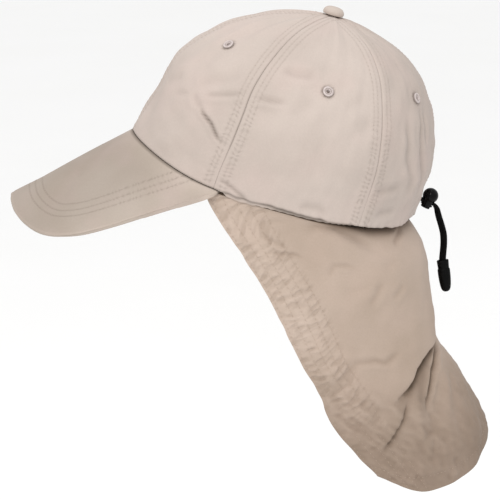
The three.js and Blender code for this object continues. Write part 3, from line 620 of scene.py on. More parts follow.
camera_data = bpy.data.cameras.new("camera")
camera_data.lens = LENS
camera_data.sensor_width = SENSOR_WIDTH
camera = facing("camera", camera_data, target + backward * DISTANCE, target)
bpy.context.scene.camera = camera


def softbox(name, place, size, power, tint):
    light = bpy.data.lights.new(name, "AREA")
    light.shape, light.size, light.energy = "SQUARE", size, power
    light.color = linear(tint)[:3]
    facing(name, light, place, (0, -0.02, -0.03))


# Places and sizes in metres, power in watts.
softbox("key_light", (1.55, -0.35, 1.3), 0.8, 16, "#fffaf4")
softbox("top_light", (0.1, -0.1, 1.9), 1.2, 6, "#fbfbff")

world = bpy.data.worlds.new("studio")
bpy.context.scene.world = world
world.use_nodes = True
colour_slot, strength_slot = world.node_tree.nodes["Background"].inputs[:2]
colour_slot.default_value, strength_slot.default_value = (1, 1, 1, 1), FILL_LIGHT
bpy.context.scene.view_settings.view_transform = "Standard"

# A matt painted backdrop, which only hints at an uneven coat.
backdrop, add = new_material("painted_backdrop")
patch = add("TexNoise", Vector=add("TexCoord", out="Object"), Scale=3.0, Detail=2.0)
finish_material(add, Base_Color=add("Mix", patch, linear("#ffffff"), linear("#fcfcfb"), data_type="RGBA"),
                Roughness=0.9)
FLOOR_LEVEL, FLOOR_REACH = -600, 14000
floor_corners = [(x * FLOOR_REACH, y * FLOOR_REACH, FLOOR_LEVEL)
                 for x, y in ((-1, -1), (1, -1), (1, 1), (-1, 1))]
make_piece("floor", floor_corners, [np.array([[0, 1, 2, 3]])], backdrop)


# ---------------------------------------------------------------- drawcord

lean = math.radians(LOCK_LEAN)
lock_down = np.array([0, -math.sin(lean), -math.cos(lean)])
lock_out = np.array([0, math.cos(lean), -math.sin(lean)])
lock_centre = np.array([0, 101.1, -16.8])
STRAND_SPREAD = CORD_DIAMETER / 2 + GAP / 2
exit_place = crown_place(hem_height(180.0) + EXIT_RISE)
exit_point = crown_point(180.0, exit_place)
exit_normal = crown_normal(180.0, exit_place)
slot_point = lock_centre + lock_down * SLOT_DROP
slot_out = slot_point + lock_out * (LOCK_COLLAR / 2 + 0.6)
slot_in = slot_point - lock_out * (LOCK_COLLAR / 2 + 0.3)
# Route of the pair of strands: place along Y, height, and how far the pair has twisted.
CORD_ROUTE = [
    (exit_point[1] + exit_normal[1] * 0.6, exit_point[2] + exit_normal[2] * 0.6, 0),
    (slot_in[1], slot_in[2], 0),
    (slot_point[1], slot_point[2], 0),
    (slot_out[1], slot_out[2], 8),
    (105.5, -25.6, 27),
    (106.3, -28.6, 38),
    (107.2, -32.0, 45),
    (108.9, -37.4, 48),
    (110.4, -43.4, 49),
    (110.8, -49.8, 46),
    (110.5, -56.0, 44),
    (110.2, -61.4, 48),
    (110.8, -66.0, 58),
]
ROUTE_STEP = 0.7


def smooth_route(points, step):
    """A centripetal curve through the points, sampled about every step mm."""
    p = np.asarray(points, float)
    p = np.concatenate([[2 * p[0] - p[1]], p, [2 * p[-1] - p[-2]]])
    made = []
    for p0, p1, p2, p3 in zip(p, p[1:], p[2:], p[3:]):
        t0, t1, t2 = (max(np.linalg.norm(q - o) ** 0.5, 1e-4) for o, q in ((p0, p1), (p1, p2), (p2, p3)))
        m1 = ((p1 - p0) / t0 - (p2 - p0) / (t0 + t1) + (p2 - p1) / t1) * t1
        m2 = ((p2 - p1) / t1 - (p3 - p1) / (t1 + t2) + (p3 - p2) / t2) * t1
        count = max(1, round(np.linalg.norm(p2 - p1) / step))
        for t in np.arange(count) / count:
            made.append(p1 + m1 * t + (3 * (p2 - p1) - 2 * m1 - m2) * t ** 2
                        + (2 * (p1 - p2) + m1 + m2) * t ** 3)
    return np.array(made + [p[-2]])


def strand_route(side):
    """Route of one strand: round inside the casing, out at the back, through the lock to the cord end."""
    inside = exit_point - exit_normal * (CLOTH + SEAM_VALLEY + CORD_DIAMETER / 2 + 1.3)
    route = [(side * x, inside[1] + y, inside[2] + z) for x, y, z in
             ((17, -1.9, 0.4), (11, -0.7, 0.2), (5, -0.2, 0.1), (1.7, 0.9, 0))]
    for back, high, twist in CORD_ROUTE:
        turn = math.radians(twist)
        spread = STRAND_SPREAD + GAP * 0.3 * math.sin(turn)
        route.append((side * spread * math.cos(turn), back + side * spread * math.sin(turn), high))
    return smooth_route(route, ROUTE_STEP)


def tube(name, route, radius, sides, material):
    """A round cord along a route; its braid map holds the share round it and the run along it."""
    tangent = unit(np.gradient(route, axis=0))
    normal = np.zeros_like(route)
    normal[0] = unit(np.cross(tangent[0], [0, 0, 1]))
    for i in range(1, len(route)):
        normal[i] = unit(normal[i - 1] - tangent[i] * (normal[i - 1] @ tangent[i]))
    binormal = np.cross(tangent, normal)
    angle = np.arange(sides + 1) * 2 * math.pi / sides
    ring = (normal[:, None] * np.cos(angle)[:, None] + binormal[:, None] * np.sin(angle)[:, None]) * radius
    points = route[:, None] + ring
    along = np.concatenate([[0], np.cumsum(np.linalg.norm(np.diff(route, axis=0), axis=1))])
    maps = np.stack(np.broadcast_arrays(np.arange(sides + 1) / sides / MM, along[:, None]), -1)
    rows, cols = points.shape[:2]
    r, c = np.meshgrid(np.arange(rows - 1), np.arange(cols - 1), indexing="ij")
    start = (r * cols + c).ravel()
    faces = [np.stack([start, start + 1, start + cols + 1, start + cols], -1)]
    ends = np.stack([np.arange(sides)[::-1], (rows - 1) * cols + np.arange(sides)])
    piece = make_piece(name, points, faces + [ends], material, {"braid": maps}, sharp=60)
    weld(piece)
    return piece


for side, hand in ((1, "left"), (-1, "right")):
    route = strand_route(side)
    strand = tube(f"elastic_strand_{hand}", route, CORD_DIAMETER / 2, 14, cord_elastic)
    dress(strand, "cord_elastic", f"drawcord_strand_{hand}")


# ---------------------------------------------------------------- cord lock and cord end

lock_axes = frame_of(-lock_down)
SLOT_HALF = STRAND_SPREAD + CORD_DIAMETER / 2 + GAP
SLOT_HIGH = CORD_DIAMETER / 2 + GAP
COLLAR_END = SLOT_DROP + SLOT_HIGH + 1.2
BORE_TOP = LOCK_DIAMETER / 2 - 2.6
ball, neck = LOCK_DIAMETER / 2, LOCK_COLLAR / 2


def carve_slot(piece, travel=0.0):
    """Cuts the slot that both strands pass through, longer by the plunger's travel."""
    return carved(piece, [block(lock_centre, lock_axes, (-SLOT_HALF, -10, -SLOT_DROP - SLOT_HIGH - travel),
                                (SLOT_HALF, 10, -SLOT_DROP + SLOT_HIGH))])


def lock_body():
    """A hollow ball with a short collar, in which the plunger slides."""
    turns = np.linspace(0, math.pi - math.asin(neck / ball), 26)
    dome = [(ball * math.sin(t), ball * math.cos(t)) for t in turns]
    collar = [(neck, -COLLAR_END + 0.5), (neck - 0.15, -COLLAR_END + 0.15), (neck - 0.5, -COLLAR_END)]
    inside = PLUNGER_RADIUS + 0.3
    bore = [(inside + 0.1, -COLLAR_END), (inside, -COLLAR_END + 0.1), (inside, BORE_TOP), (0, BORE_TOP)]
    profile = dome + collar + bore
    return carve_slot(turned_piece("lock_ball", profile, 44, lock_plastic, lock_centre, -lock_down))


def lock_plunger():
    """The push button under the ball, with a dimple in its face."""
    top, end, wide = BORE_TOP - LOCK_TRAVEL - GAP, -COLLAR_END - PLUNGER_SHOWS, PLUNGER_RADIUS
    profile = [(0, top), (wide - 0.2, top), (wide, top - 0.2), (wide, end + 0.6), (wide - 0.18, end + 0.18),
               (wide - 0.6, end), (wide * 0.55, end + 0.02), (wide * 0.45, end + 0.22), (0, end + 0.26)]
    piece = turned_piece("lock_plunger_button", profile, 36, lock_plastic, lock_centre, -lock_down)
    return carve_slot(piece, LOCK_TRAVEL)


ball_piece = dress(lock_body(), "lock_plastic", "cord_lock_body")
plunger_piece = dress(lock_plunger(), "lock_plastic", "cord_lock_plunger", body="lock_plunger")

end_top = np.array([0, 110.2, -61.9])
end_down = unit([0, 0.135, -0.991])
# Radius and drop of the moulding as shares: a short ribbed socket, a step, then a long rounded taper.
END_PROFILE = [(0, 0), (0.86, 0), (0.93, 0.012), (0.95, 0.04), (0.935, 0.09), (0.91, 0.1), (0.93, 0.11),
               (0.92, 0.16), (0.895, 0.17), (0.91, 0.18), (0.895, 0.235), (0.885, 0.265), (0.94, 0.278),
               (0.985, 0.295), (1.0, 0.33), (1.0, 0.42), (0.985, 0.52), (0.955, 0.62), (0.915, 0.71),
               (0.86, 0.8), (0.77, 0.88), (0.66, 0.935), (0.52, 0.968), (0.34, 0.99), (0.16, 0.998), (0, 1.0)]
end_profile = [(CORD_END_WIDTH / 2 * r, -CORD_END_LENGTH * z) for r, z in END_PROFILE]
end_piece = turned_piece("cord_end_moulding", end_profile, 40, end_plastic, end_top, -end_down, squeeze=0.72)
# The hole that takes both strands: half its sizes, and its depth.
hole_half = np.array([CORD_DIAMETER / 2 + 3 * GAP, CORD_DIAMETER + 1.5 * GAP, 6])
hole = block(end_top, frame_of(-end_down), -hole_half, hole_half)
dress(carved(end_piece, [hole]), "end_plastic", "cord_end")


# ---------------------------------------------------------------- crown panels

def crown_line(places):
    """Places of the crown, degrees from the front and share of the height, laid out flat in mm."""
    return [(math.radians(turn) * FLAT_RADIUS, height * CROWN_HEIGHT) for turn, height in places]


# How strongly the creases stand: the near side by the photo, the unseen far side softer.
NEAR_SIDE_PULL, FAR_SIDE_PULL = 1.8, 0.9
# Creases of the crown on either side: half width in mm, depth in mm (below 0 stands up), how much
# painted shade darkens them, and the places they run through.
CROWN_CREASES = [
    (1.2, 0.85, 0.24, [(41, 0.41), (44, 0.366), (50, 0.326), (55, 0.270), (59, 0.245)]),
    (2.2, 0.4, 0.05, [(35, 0.45), (39, 0.41), (43, 0.385)]),
    (1.9, 0.5, 0.07, [(40, 0.45), (48, 0.485), (54, 0.51), (60, 0.55)]),
    (2.0, 0.3, 0.03, [(24, 0.40), (34, 0.436)]),
    (4.6, 0.6, 0.03, [(34, 0.495), (45, 0.558), (54, 0.62)]),
    (4.0, 0.35, 0.02, [(11, 0.42), (24, 0.508)]),
    (2.8, 0.6, 0.05, [(67, 0.702), (77, 0.700), (86, 0.714)]),
    (2.5, -0.35, 0.0, [(67, 0.682), (78, 0.678), (87, 0.674)]),
    (1.8, 0.5, 0.06, [(62.5, 0.53), (70, 0.538), (77, 0.552)]),
    (2.4, -0.3, 0.0, [(63, 0.508), (75, 0.516)]),
    (4.6, 0.5, 0.03, [(86, 0.62), (80, 0.508), (78, 0.47)]),
    (4.5, 0.35, 0.02, [(111, 0.68), (99, 0.595)]),
    (4.5, 0.35, 0.02, [(114, 0.57), (107, 0.485)]),
    (1.2, 0.5, 0.14, [(61, 0.062), (64, 0.052), (67.5, 0.034), (71, 0.012), (75, -0.016)]),
    (2.8, 0.5, 0.06, [(89, 0.02), (94, 0.045), (99, 0.05), (105, 0.022)]),
    (2.8, 0.6, 0.06, [(121, 0.19), (137, 0.237)]),
    (2.8, 0.5, 0.05, [(126, 0.065), (140, 0.106)]),
    (2.9, 0.6, 0.06, [(135, 0.66), (136, 0.556), (137, 0.392), (142, 0.282), (145, 0.14)]),
    (2.8, 0.6, 0.07, [(150, 0.72), (148, 0.638), (147, 0.434), (152, 0.302), (156, 0.14)]),
    (4.0, -0.4, 0.0, [(141, 0.60), (141, 0.496), (145, 0.282), (149, 0.15)]),
    (2.4, 0.5, 0.05, [(154, 0.66), (152, 0.54), (151, 0.44)]),
]
# Broad hollows of the crown: degrees, share of the height, long, wide, deep in mm, degrees from upright.
CROWN_HOLLOWS = [
    (38, 0.62, 18, 14, 0.5, 60),
    (166, 0.42, 46, 12, 0.6, 0),
    (74, 0.10, 14, 10, 0.5, -30),
    (180, 0.13, 34, 60, 1.9, 0),
]


def crown_relief(turn, place, seam_distance, hem_distance, side, panel):
    """Height of the crown's cloth in mm over its plain shape, and its tone map of painted shade and thread
    pull.
    """
    height = spline(CROWN_HEIGHTS, place)
    radius = crown_radius(turn, place)
    a = np.abs(turn)
    # The allowance stands up beside the seam, and the seam itself is a groove, nearly shut low down.
    closed = 1 - 0.8 * smooth((0.28 - height) / 0.2)
    relief = 0.16 * bell((seam_distance - 4.6) / 2.8) - 0.06 * bell(seam_distance / 1.6)
    relief -= 0.4 * closed * bell(seam_distance / 0.5)
    for t0, h0, long, wide, deep, tip in CROWN_HOLLOWS:
        across, rise = np.radians(a - t0) * radius, (height - h0) * CROWN_HEIGHT
        tip = math.radians(tip)
        along = rise * math.cos(tip) + across * math.sin(tip)
        beside = across * math.cos(tip) - rise * math.sin(tip)
        relief -= deep * bell(along / (long / 2)) * bell(beside / (wide / 2))
    flat_x, flat_y = np.radians(a) * FLAT_RADIUS, height * CROWN_HEIGHT
    crease_shade = np.zeros_like(relief)
    pull = NEAR_SIDE_PULL if side > 0 else FAR_SIDE_PULL
    for wide, deep, dark, places in CROWN_CREASES:
        part, beside, _ = beside_line(flat_x, flat_y, crown_line(places))
        ends = faded(part, 0.3, 0.3)
        relief += pull * deep * ends * (0.5 * bell((np.abs(beside) - 2 * wide) / wide) - bell(beside / wide))
        crease_shade += pull * dark * ends * bell(beside / (0.75 * wide))
    # Gathers over the drawcord at the back.
    gathers = np.sin(np.radians(a * 13)) * smooth((a - 118) / 25)
    relief += 0.8 * gathers * bell((place - hem_place(turn)) / 2)
    # Cloth drawn together along each sewn row and along the hem.
    pucker = np.sin(flat_y * 2 * math.pi / 5.2 + 1.3 * np.sin(flat_y / 7.0 + side))
    calm = 0.35 + 0.65 * smooth((0.62 - height) / 0.3)
    drawn_in = bell((seam_distance - 4.8) / 1.9) - 0.7 * bell((seam_distance - 9) / 2.4)
    relief += 0.13 * calm * pucker * drawn_in
    hem_ripple = np.sin(a * 2 * math.pi / 4.3 + 1.7 * np.sin(a / 5.0 + side))
    relief += 0.30 * smooth((a - 58) / 6) * hem_ripple * bell(hem_distance / 4.5)
    # Away from seams and hem the cloth swells loosely, its own way in each panel.
    seed = {"front": 11, "side": 23, "back": 37}[panel] + (0 if side > 0 else 5)
    loose = smooth(seam_distance / 9) * smooth(hem_distance / 14)
    broad, fine = swell(flat_x, flat_y, seed, 30), swell(flat_x, flat_y, seed + 1, 13)
    relief += 0.8 * loose * broad + 0.3 * loose * fine
    # Shade is painted into the seam where it gapes, least near the hem, at the top and at the back; shade is
    # also painted along the hem and in the creases.
    open_seam = (0.12 + 0.88 * smooth((height - 0.12) / 0.22)) * (1 - 0.6 * smooth((height - 0.7) / 0.2))
    open_seam *= 1 - 0.45 * smooth((a - 90) / 10)
    hem_shade = 0.2 + 0.25 * bell((a - 78) / 18)
    seam_shade = (0.27 - 0.1 * smooth((height - 0.45) / 0.3)) * open_seam
    tone = 1 - seam_shade * bell(seam_distance / 0.5) - hem_shade * bell(hem_distance / 0.9) - crease_shade
    tone *= 1 - 0.07 * smooth((a - SEAM_BACK) / 3)
    thread_pull = 0.15 + 0.85 * smooth((0.7 - height) / 0.35)
    # The cloth turns under at the hem.
    return relief - 0.5 * bell(hem_distance / 0.5), np.stack([tone, thread_pull], -1)


def cluster(count, even):
    """Shares from 0 to 1, closer together toward both ends."""
    t = np.linspace(0, 1, count)
    return even * t + (1 - even) * (0.5 - 0.5 * np.cos(math.pi * t))


EYELET_SEATS = {}
PANEL_COLUMNS, PANEL_ROWS = 100, 126


def crown_panel(panel, side):
    """One wedge of the crown; gives back its outer grid and its rows map for the stitches."""
    first, last = PANELS[panel]
    span = last - first
    across = cluster(PANEL_COLUMNS, 0.4)
    rise = np.concatenate([[0, 0.0022, 0.0045, 0.008, 0.013], np.linspace(0.02, 1, PANEL_ROWS)])
    share, up = np.meshgrid(across, rise)
    turn = first + share * span
    place = hem_place(turn) + (TOP_PLACE - hem_place(turn)) * up
    width = math.radians(span) * crown_radius(turn, place)
    # Neighbours stay 0.12 mm apart, so that no two walls lie in one another.
    keep_off = np.minimum(0.06 / np.maximum(width, 1), 0.2)
    share = keep_off + share * (1 - 2 * keep_off)
    turn = first + share * span
    seam_distance = np.minimum(share, 1 - share) * width
    column = crown_point(turn * side, place)
    # The hem's edge runs unevenly where the casing is gathered.
    uneven = 1.3 * swell(turn * 1.6, side * 9.0, 61, 15) * smooth((turn - 60) / 6)
    column = column + tilted(0, 0, 0.5) * (uneven * bell(up / 0.03))[..., None]
    height_run = np.concatenate([np.zeros((1, column.shape[1])),
                                 np.cumsum(np.linalg.norm(np.diff(column, axis=0), axis=-1), axis=0)])
    normal = crown_normal(turn * side, place)
    relief, tone = crown_relief(turn * side, place, seam_distance, height_run, side, panel)
    eye_turn, eye_height = EYELETS[panel]
    eye_place = crown_place(eye_height * CROWN_HEIGHT)
    eye = crown_point(float(eye_turn * side), eye_place)
    eye_normal = crown_normal(float(eye_turn * side), eye_place)
    from_eye = np.linalg.norm(column - eye, axis=-1)
    # The eyelet presses a flat seat into the cloth, with shade painted round its edge.
    seat = smooth((from_eye - 4.5) / 6)
    relief = relief * seat - 0.25 * bell((from_eye - 4.6) / 1.2) * (1 - seat)
    tone[..., 0] *= 1 - 0.36 * bell((from_eye - 4.0) / 0.6)
    outer = column + normal * relief[..., None]
    inner = outer - normal * CLOTH
    centre = (outer[:-1, :-1] + outer[1:, 1:] + outer[:-1, 1:] + outer[1:, :-1]) / 4
    keep = np.linalg.norm(centre - eye, axis=-1) > EYELET_BORE / 2 + EYELET_WALL + 0.5
    if panel == "back":
        # Half of the buttonhole that the strands come out of.
        arm = centre - exit_point
        ahead = arm @ exit_normal
        flat = arm - ahead[..., None] * exit_normal
        opening = (flat[..., 0] / (STRAND_SPREAD + 1.5)) ** 2 + (flat[..., 2] / 1.6) ** 2
        keep &= (opening > 1) | (np.abs(ahead) > 8)
    rows_map = np.stack([height_run, seam_distance], -1)
    weave = np.stack([(share - 0.5) * math.radians(span) * FLAT_RADIUS, height_run], -1)
    hand = "left" if side > 0 else "right"
    piece = shell_piece(f"{panel}_panel_{hand}", outer, inner, crown_cloth,
                        {"weave": weave, "rows": rows_map, "tone": tone}, keep)
    dress(piece, "crown_cloth", f"crown_panel_{panel}_{hand}")
    EYELET_SEATS[panel, hand] = (eye, eye_normal)
    return outer, rows_map


panel_grids = {(panel, side): crown_panel(panel, side) for side in (1, -1) for panel in PANELS}

# An eyelet: a rolled flange outside with a groove round its bore, a barrel and a small flange inside.
bore, barrel, rim = EYELET_BORE / 2, EYELET_BORE / 2 + EYELET_WALL, EYELET_DIAMETER / 2
inside = -CLOTH - 0.5
back = inside - EYELET_WALL
EYELET_PROFILE = [(bore, back + 0.2), (bore + 0.2, back), (rim - EYELET_WALL, back),
                  (rim - EYELET_WALL, inside), (barrel, inside), (barrel, -0.3), (rim - 0.25, -0.3),
                  (rim, -0.1), (rim + 0.02, 0.2), (rim - 0.1, 0.62), (rim - 0.45, 1.0), (rim - 0.95, 1.2),
                  (rim - 1.35, 1.12), (rim - 1.6, 0.82), (rim - 1.78, 0.72), (rim - 1.95, 0.84),
                  (bore + 0.42, 0.98), (bore + 0.16, 0.84), (bore, 0.5), (bore, back + 0.2)]
for (panel, hand), (point, normal) in EYELET_SEATS.items():
    ring = turned_piece(f"{panel}_eyelet_{hand}", EYELET_PROFILE, 40, eyelet_paint, point, normal, sharp=60)
    dress(ring, "eyelet_paint", f"eyelet_{panel}_{hand}")

# Covered button: cloth drawn over a flat dome, with its shank and back plate.
BUTTON_OUTLINE = [(0, 1.0), (0.10, 0.995), (0.20, 0.972), (0.30, 0.915), (0.38, 0.82), (0.445, 0.67),
                  (0.485, 0.5), (0.5, 0.34), (0.497, 0.2), (0.475, 0.08), (0.42, 0.03)]
SHANK = 2.4
button_profile = [(BUTTON_DIAMETER * r, BUTTON_HEIGHT * z) for r, z in BUTTON_OUTLINE]
button_profile += [(SHANK, 0.5), (SHANK, -CLOTH - 1.8), (SHANK + 2.4, -CLOTH - 2.2),
                   (SHANK + 2.2, -CLOTH - 2.9), (0, -CLOTH - 3.2)]


def button_pleats(angle, height):
    """The cloth drawn under the button pleats a little round its lower edge."""
    low = smooth((BUTTON_HEIGHT * 0.75 - height) / 4) * smooth((height + 0.2) / 0.6)
    return 1 + 0.016 * low * np.sin(angle * 11 + 0.8 * np.sin(angle * 3))


top_point = tilted(0, TOP_SET_BACK, CROWN_BASE + CROWN_HEIGHT)
button = turned_piece("covered_button", button_profile, 56, button_cloth, top_point, tilted(0, 0, 1),
                      wobble=button_pleats)
dress(button, "crown_cloth", "top_button")


# ---------------------------------------------------------------- brim

def brim_root(share):
    turn = share * BRIM_END
    return crown_point(turn, hem_place(turn)) - tilted(0, 0, 1) * (GAP + 0.1)


def brim_edge(share):
    """Outer edge of the brim, from its right end (-1) round to its left end (1)."""
    place = place_of(BRIM_AT, np.abs(share))
    droop = math.radians(BRIM_DROOP)
    ridge = np.array([0, -math.cos(droop), -math.sin(droop)])
    ridge_up = np.array([0, -math.sin(droop), math.cos(droop)])
    forward = BRIM_LENGTH * spline(BRIM_FORWARD, place)
    drop = BRIM_LENGTH * spline(BRIM_DROP, place)
    point = crown_point(0.0, hem_place(0.0)) + forward[..., None] * ridge - drop[..., None] * ridge_up
    point[..., 0] = np.sign(share) * RIM_HALF_WIDTH * spline(BRIM_SIDE, place)
    return point


def brim_point(share, out):
    root = brim_root(share)
    return root + (brim_edge(share) - root) * np.asarray(out)[..., None]


def brim_normal(share, out):
    low, high = np.maximum(share - 0.01, -1), np.minimum(share + 0.01, 1)
    across = brim_point(high, out) - brim_point(low, out)
    return -unit(np.cross(across, brim_edge(share) - brim_root(share)))


NEAR_POINTS_AT_ONCE = 4000


def distance_to_edge(points):
    """Nearest distance to the brim's outer edge, and how far along the edge that is, in mm."""
    edge = brim_edge(np.linspace(-1, 1, 481))
    run = np.concatenate([[0], np.cumsum(np.linalg.norm(np.diff(edge, axis=0), axis=1))])
    flat = points.reshape(-1, 3)
    near, where = np.empty(len(flat)), np.empty(len(flat))
    for start in range(0, len(flat), NEAR_POINTS_AT_ONCE):
        some = slice(start, start + NEAR_POINTS_AT_ONCE)
        gap = np.linalg.norm(flat[some, None] - edge[None], axis=-1)
        near[some], where[some] = gap.min(1), run[gap.argmin(1)]
    return near.reshape(points.shape[:-1]), where.reshape(points.shape[:-1])


def stretched(grid, surface):
    """A map with its first row repeated, for the rows tucked in before a surface's first row."""
    return np.concatenate([np.repeat(grid[:1], len(surface) - len(grid), 0), grid])


MEAN_BRIM_DEPTH, MM_TO_A_DEGREE = 70, 1.5
side_shares = np.concatenate([np.linspace(0, 0.9, 56), np.linspace(0.9, 0.985, 12)[1:],
                              [0.99, 0.994, 0.997, 0.999, 1]])
brim_shares = np.concatenate([-side_shares[:0:-1], side_shares])
brim_outs = np.concatenate([np.linspace(0, 0.9, 40), np.linspace(0.9, 0.98, 10)[1:],
                            [0.985, 0.99, 0.994, 0.997, 0.9985, 0.9995, 1]])
share, out = np.meshgrid(brim_shares, brim_outs)
surface = brim_point(share, out)
brim_up = brim_normal(share, out)
edge_distance, edge_run = distance_to_edge(surface)
end_distance = (1 - np.abs(share)) * BRIM_END * MM_TO_A_DEGREE
border = np.minimum(edge_distance, end_distance + 0.2)
roll = BRIM_THICKNESS / 2
rounding = roll - np.sqrt(np.maximum(roll ** 2 - np.maximum(roll - border, 0) ** 2, 0.0025))
sewn = sum(bell((edge_distance - row) / 0.9) for row in BRIM_ROWS_SEWN)
flat_run = swell(edge_run, edge_distance, 51, 60)
top_relief = -rounding - 0.14 * sewn + 0.35 * flat_run * smooth((edge_distance - 6) / 20)
top_relief = top_relief - 0.3 * bell((edge_distance - 1.9) / 0.6)
inward = crown_normal(brim_shares * BRIM_END, hem_place(brim_shares * BRIM_END)) * BRIM_TUCK
upper = surface + brim_up * top_relief[..., None]
lower = surface - brim_up * (BRIM_THICKNESS - rounding + 0.1 * sewn)[..., None]
# Its inner edge is tucked under the casing, so that no light shows at the root.
upper, lower = (np.concatenate([face[:1] - inward * 3.1, face[:1] - inward, face]) for face in (upper, lower))
from_root = np.linalg.norm(surface - surface[:1], axis=-1)
# The tip's rows lie flat; toward the crown the thread pulls the cloth into dots.
pulled = 0.9 * smooth((np.abs(edge_run / edge_run.max() - 0.5) * 2 - 0.5) / 0.22)
# Painted light near the root and along the rolled edge, a painted shadow line at the root, and the brim a
# little lighter toward its ends.
brim_tone = 1 + 0.14 * bell(from_root / 10) - 0.65 * bell(from_root / 0.5)
brim_tone *= 1 + 0.12 * bell(edge_distance / 1.8)
brim_tone *= 0.96 + 0.16 * smooth((np.abs(share) - 0.5) / 0.4)
brim_maps = {"weave": (edge_run, out * MEAN_BRIM_DEPTH), "rows": (edge_run, edge_distance),
             "tone": (brim_tone, pulled)}
brim_maps = {label: stretched(np.stack(pair, -1), upper) for label, pair in brim_maps.items()}
dress(shell_piece("stitched_brim", upper, lower, brim_cloth, brim_maps), "brim_cloth", "brim")


# ---------------------------------------------------------------- casing inside the hem

# It shows as a strip below the hem from the brim's ends round the back; over the brim it is hidden.
casing_turn = np.linspace(-180, 180, 361)[:-1]
casing_up = np.array([0, 0.012, 0.03, 0.06, 0.1, 0.16, 0.24, 0.35, 0.5, 0.66, 0.82, 0.94, 0.98, 1])
turn, up = np.meshgrid(casing_turn, casing_up)
beyond = np.abs(turn) - BRIM_END
shows = CASING_SHOWS * smooth((beyond - 0.4) / 2.6)
shows = shows + 1.3 * bell((beyond - 8) / 7) * smooth((beyond - 0.4) / 4)
front = (GAP + 0.5) * (1 - smooth((beyond - 0.3) / 2))
rise = (front - shows) * (1 - up) + CASING_HEIGHT * up
lap = np.sin(np.abs(turn) * 2 * math.pi / 3.7 + 2.1 * np.sin(np.abs(turn) / 4.4))
ripple = 0.28 * lap * smooth(beyond / 8) * bell(rise / 7)
fold = 0.35 * bell((rise - front + shows) / 0.5)
space = CASING_INSET + back_space(turn)
rise = rise + 0.22 * np.roll(lap, 1, axis=1) * smooth(beyond / 8) * bell(up / 0.05)
outer = inset_point(turn, rise, space - ripple + fold)
inner = inset_point(turn, rise, space - ripple * 0.8 + CLOTH - fold * 0.4)
casing_map = np.stack([np.radians(turn) * FLAT_RADIUS, rise], -1)
# It only catches the light where it shows at the temples; elsewhere the hem shades it.
lit = smooth(beyond / 1.5) * (1 - 0.55 * smooth((np.abs(turn) - 78) / 9))
casing_tone = np.where(rise < 6, (0.25 + 0.75 * lit) * (1 - 0.3 * bell(rise / 0.8)), 1)
casing_maps = {"weave": casing_map, "tone": np.stack([casing_tone, np.ones_like(turn)], -1)}
casing = shell_piece("hem_tape", outer, inner, casing_cloth, casing_maps, wrap=True)
dress(casing, "crown_cloth", "hem_casing")


# ---------------------------------------------------------------- neck flap

FLAP_INSET = CASING_INSET + CLOTH + 0.5
FLAP_SPREAD = 170
# Length in mm that hangs at the front edge, length that its puckers are counted along, lower hem.
FLAP_FRONT_HANG, PUCKERED_RUN, LOWER_HEM = 221, 222, 9


def flap_turn(share):
    """Degrees round from the front at which a share of the flap's width hangs from the hem."""
    return np.where(share < 0, -180.0, 180.0) - share * (180 - FLAP_START)


def flap_section(share, down):
    """The hanging flap's level sections, each an arc open to the front."""
    place = place_of(FLAP_DOWN, down)
    front = FLAP_LENGTH * spline(FLAP_FRONT, place)
    back = FLAP_LENGTH * spline(FLAP_BACK, place)
    half = FLAP_HALF_WIDTH * spline(FLAP_WIDTH, place)
    opening = 118 - 22 * smooth(down * 1.2)
    bend = (back - front) / (1 - np.cos(np.radians(opening)))
    turn = np.radians(opening * share)
    wide = half / np.sin(np.radians(np.minimum(opening, 90)))
    return np.stack([wide * np.sin(turn), back - bend + bend * np.cos(turn), -FLAP_LENGTH * down], -1)


def flap_base(share, down):
    """The flap without its folds, hung from the hem."""
    share, down = np.broadcast_arrays(np.asarray(share, float), np.asarray(down, float))
    turn = flap_turn(share)
    top = inset_point(turn, -CASING_SHOWS - 1, FLAP_INSET + back_space(turn))
    lowest = sum(spline(EDGE_DOWN, place_of(EDGE_AT, np.clip(np.abs(share) + off, 0, 1)))
                 for off in (-0.06, -0.03, 0, 0.03, 0.06)) / 5
    start = -top[..., 2] / FLAP_LENGTH
    level = start + (lowest - start) * down
    hanging = flap_section(share, np.maximum(level, 0))
    hanging[..., 2] = -FLAP_LENGTH * level
    return top + (hanging - top) * smooth(down / 0.14)[..., None]


def flap_frame(share, down):
    step = 0.004
    across = flap_base(np.minimum(share + step, 1), down) - flap_base(np.maximum(share - step, -1), down)
    fall = flap_base(share, np.minimum(down + step, 1)) - flap_base(share, np.maximum(down - step, 0))
    return unit(across), unit(fall), unit(np.cross(across, fall))


# Folds that lap over: half width, height, overhang in mm, and the places they run through, from the
# centre back (0) to the front edge (1) and from the hem (0) to the lower edge (1).
FLAP_LAPS = [
    (4.0, 4.4, 4.4, [(0.06, 0.535), (0.18, 0.517), (0.305, 0.515), (0.41, 0.530), (0.49, 0.555),
                     (0.58, 0.602), (0.665, 0.655), (0.75, 0.715)]),
    (1.9, 2.2, 2.0, [(0.60, 0.645), (0.66, 0.70), (0.706, 0.740), (0.774, 0.784), (0.868, 0.842),
                     (0.92, 0.87)]),
]
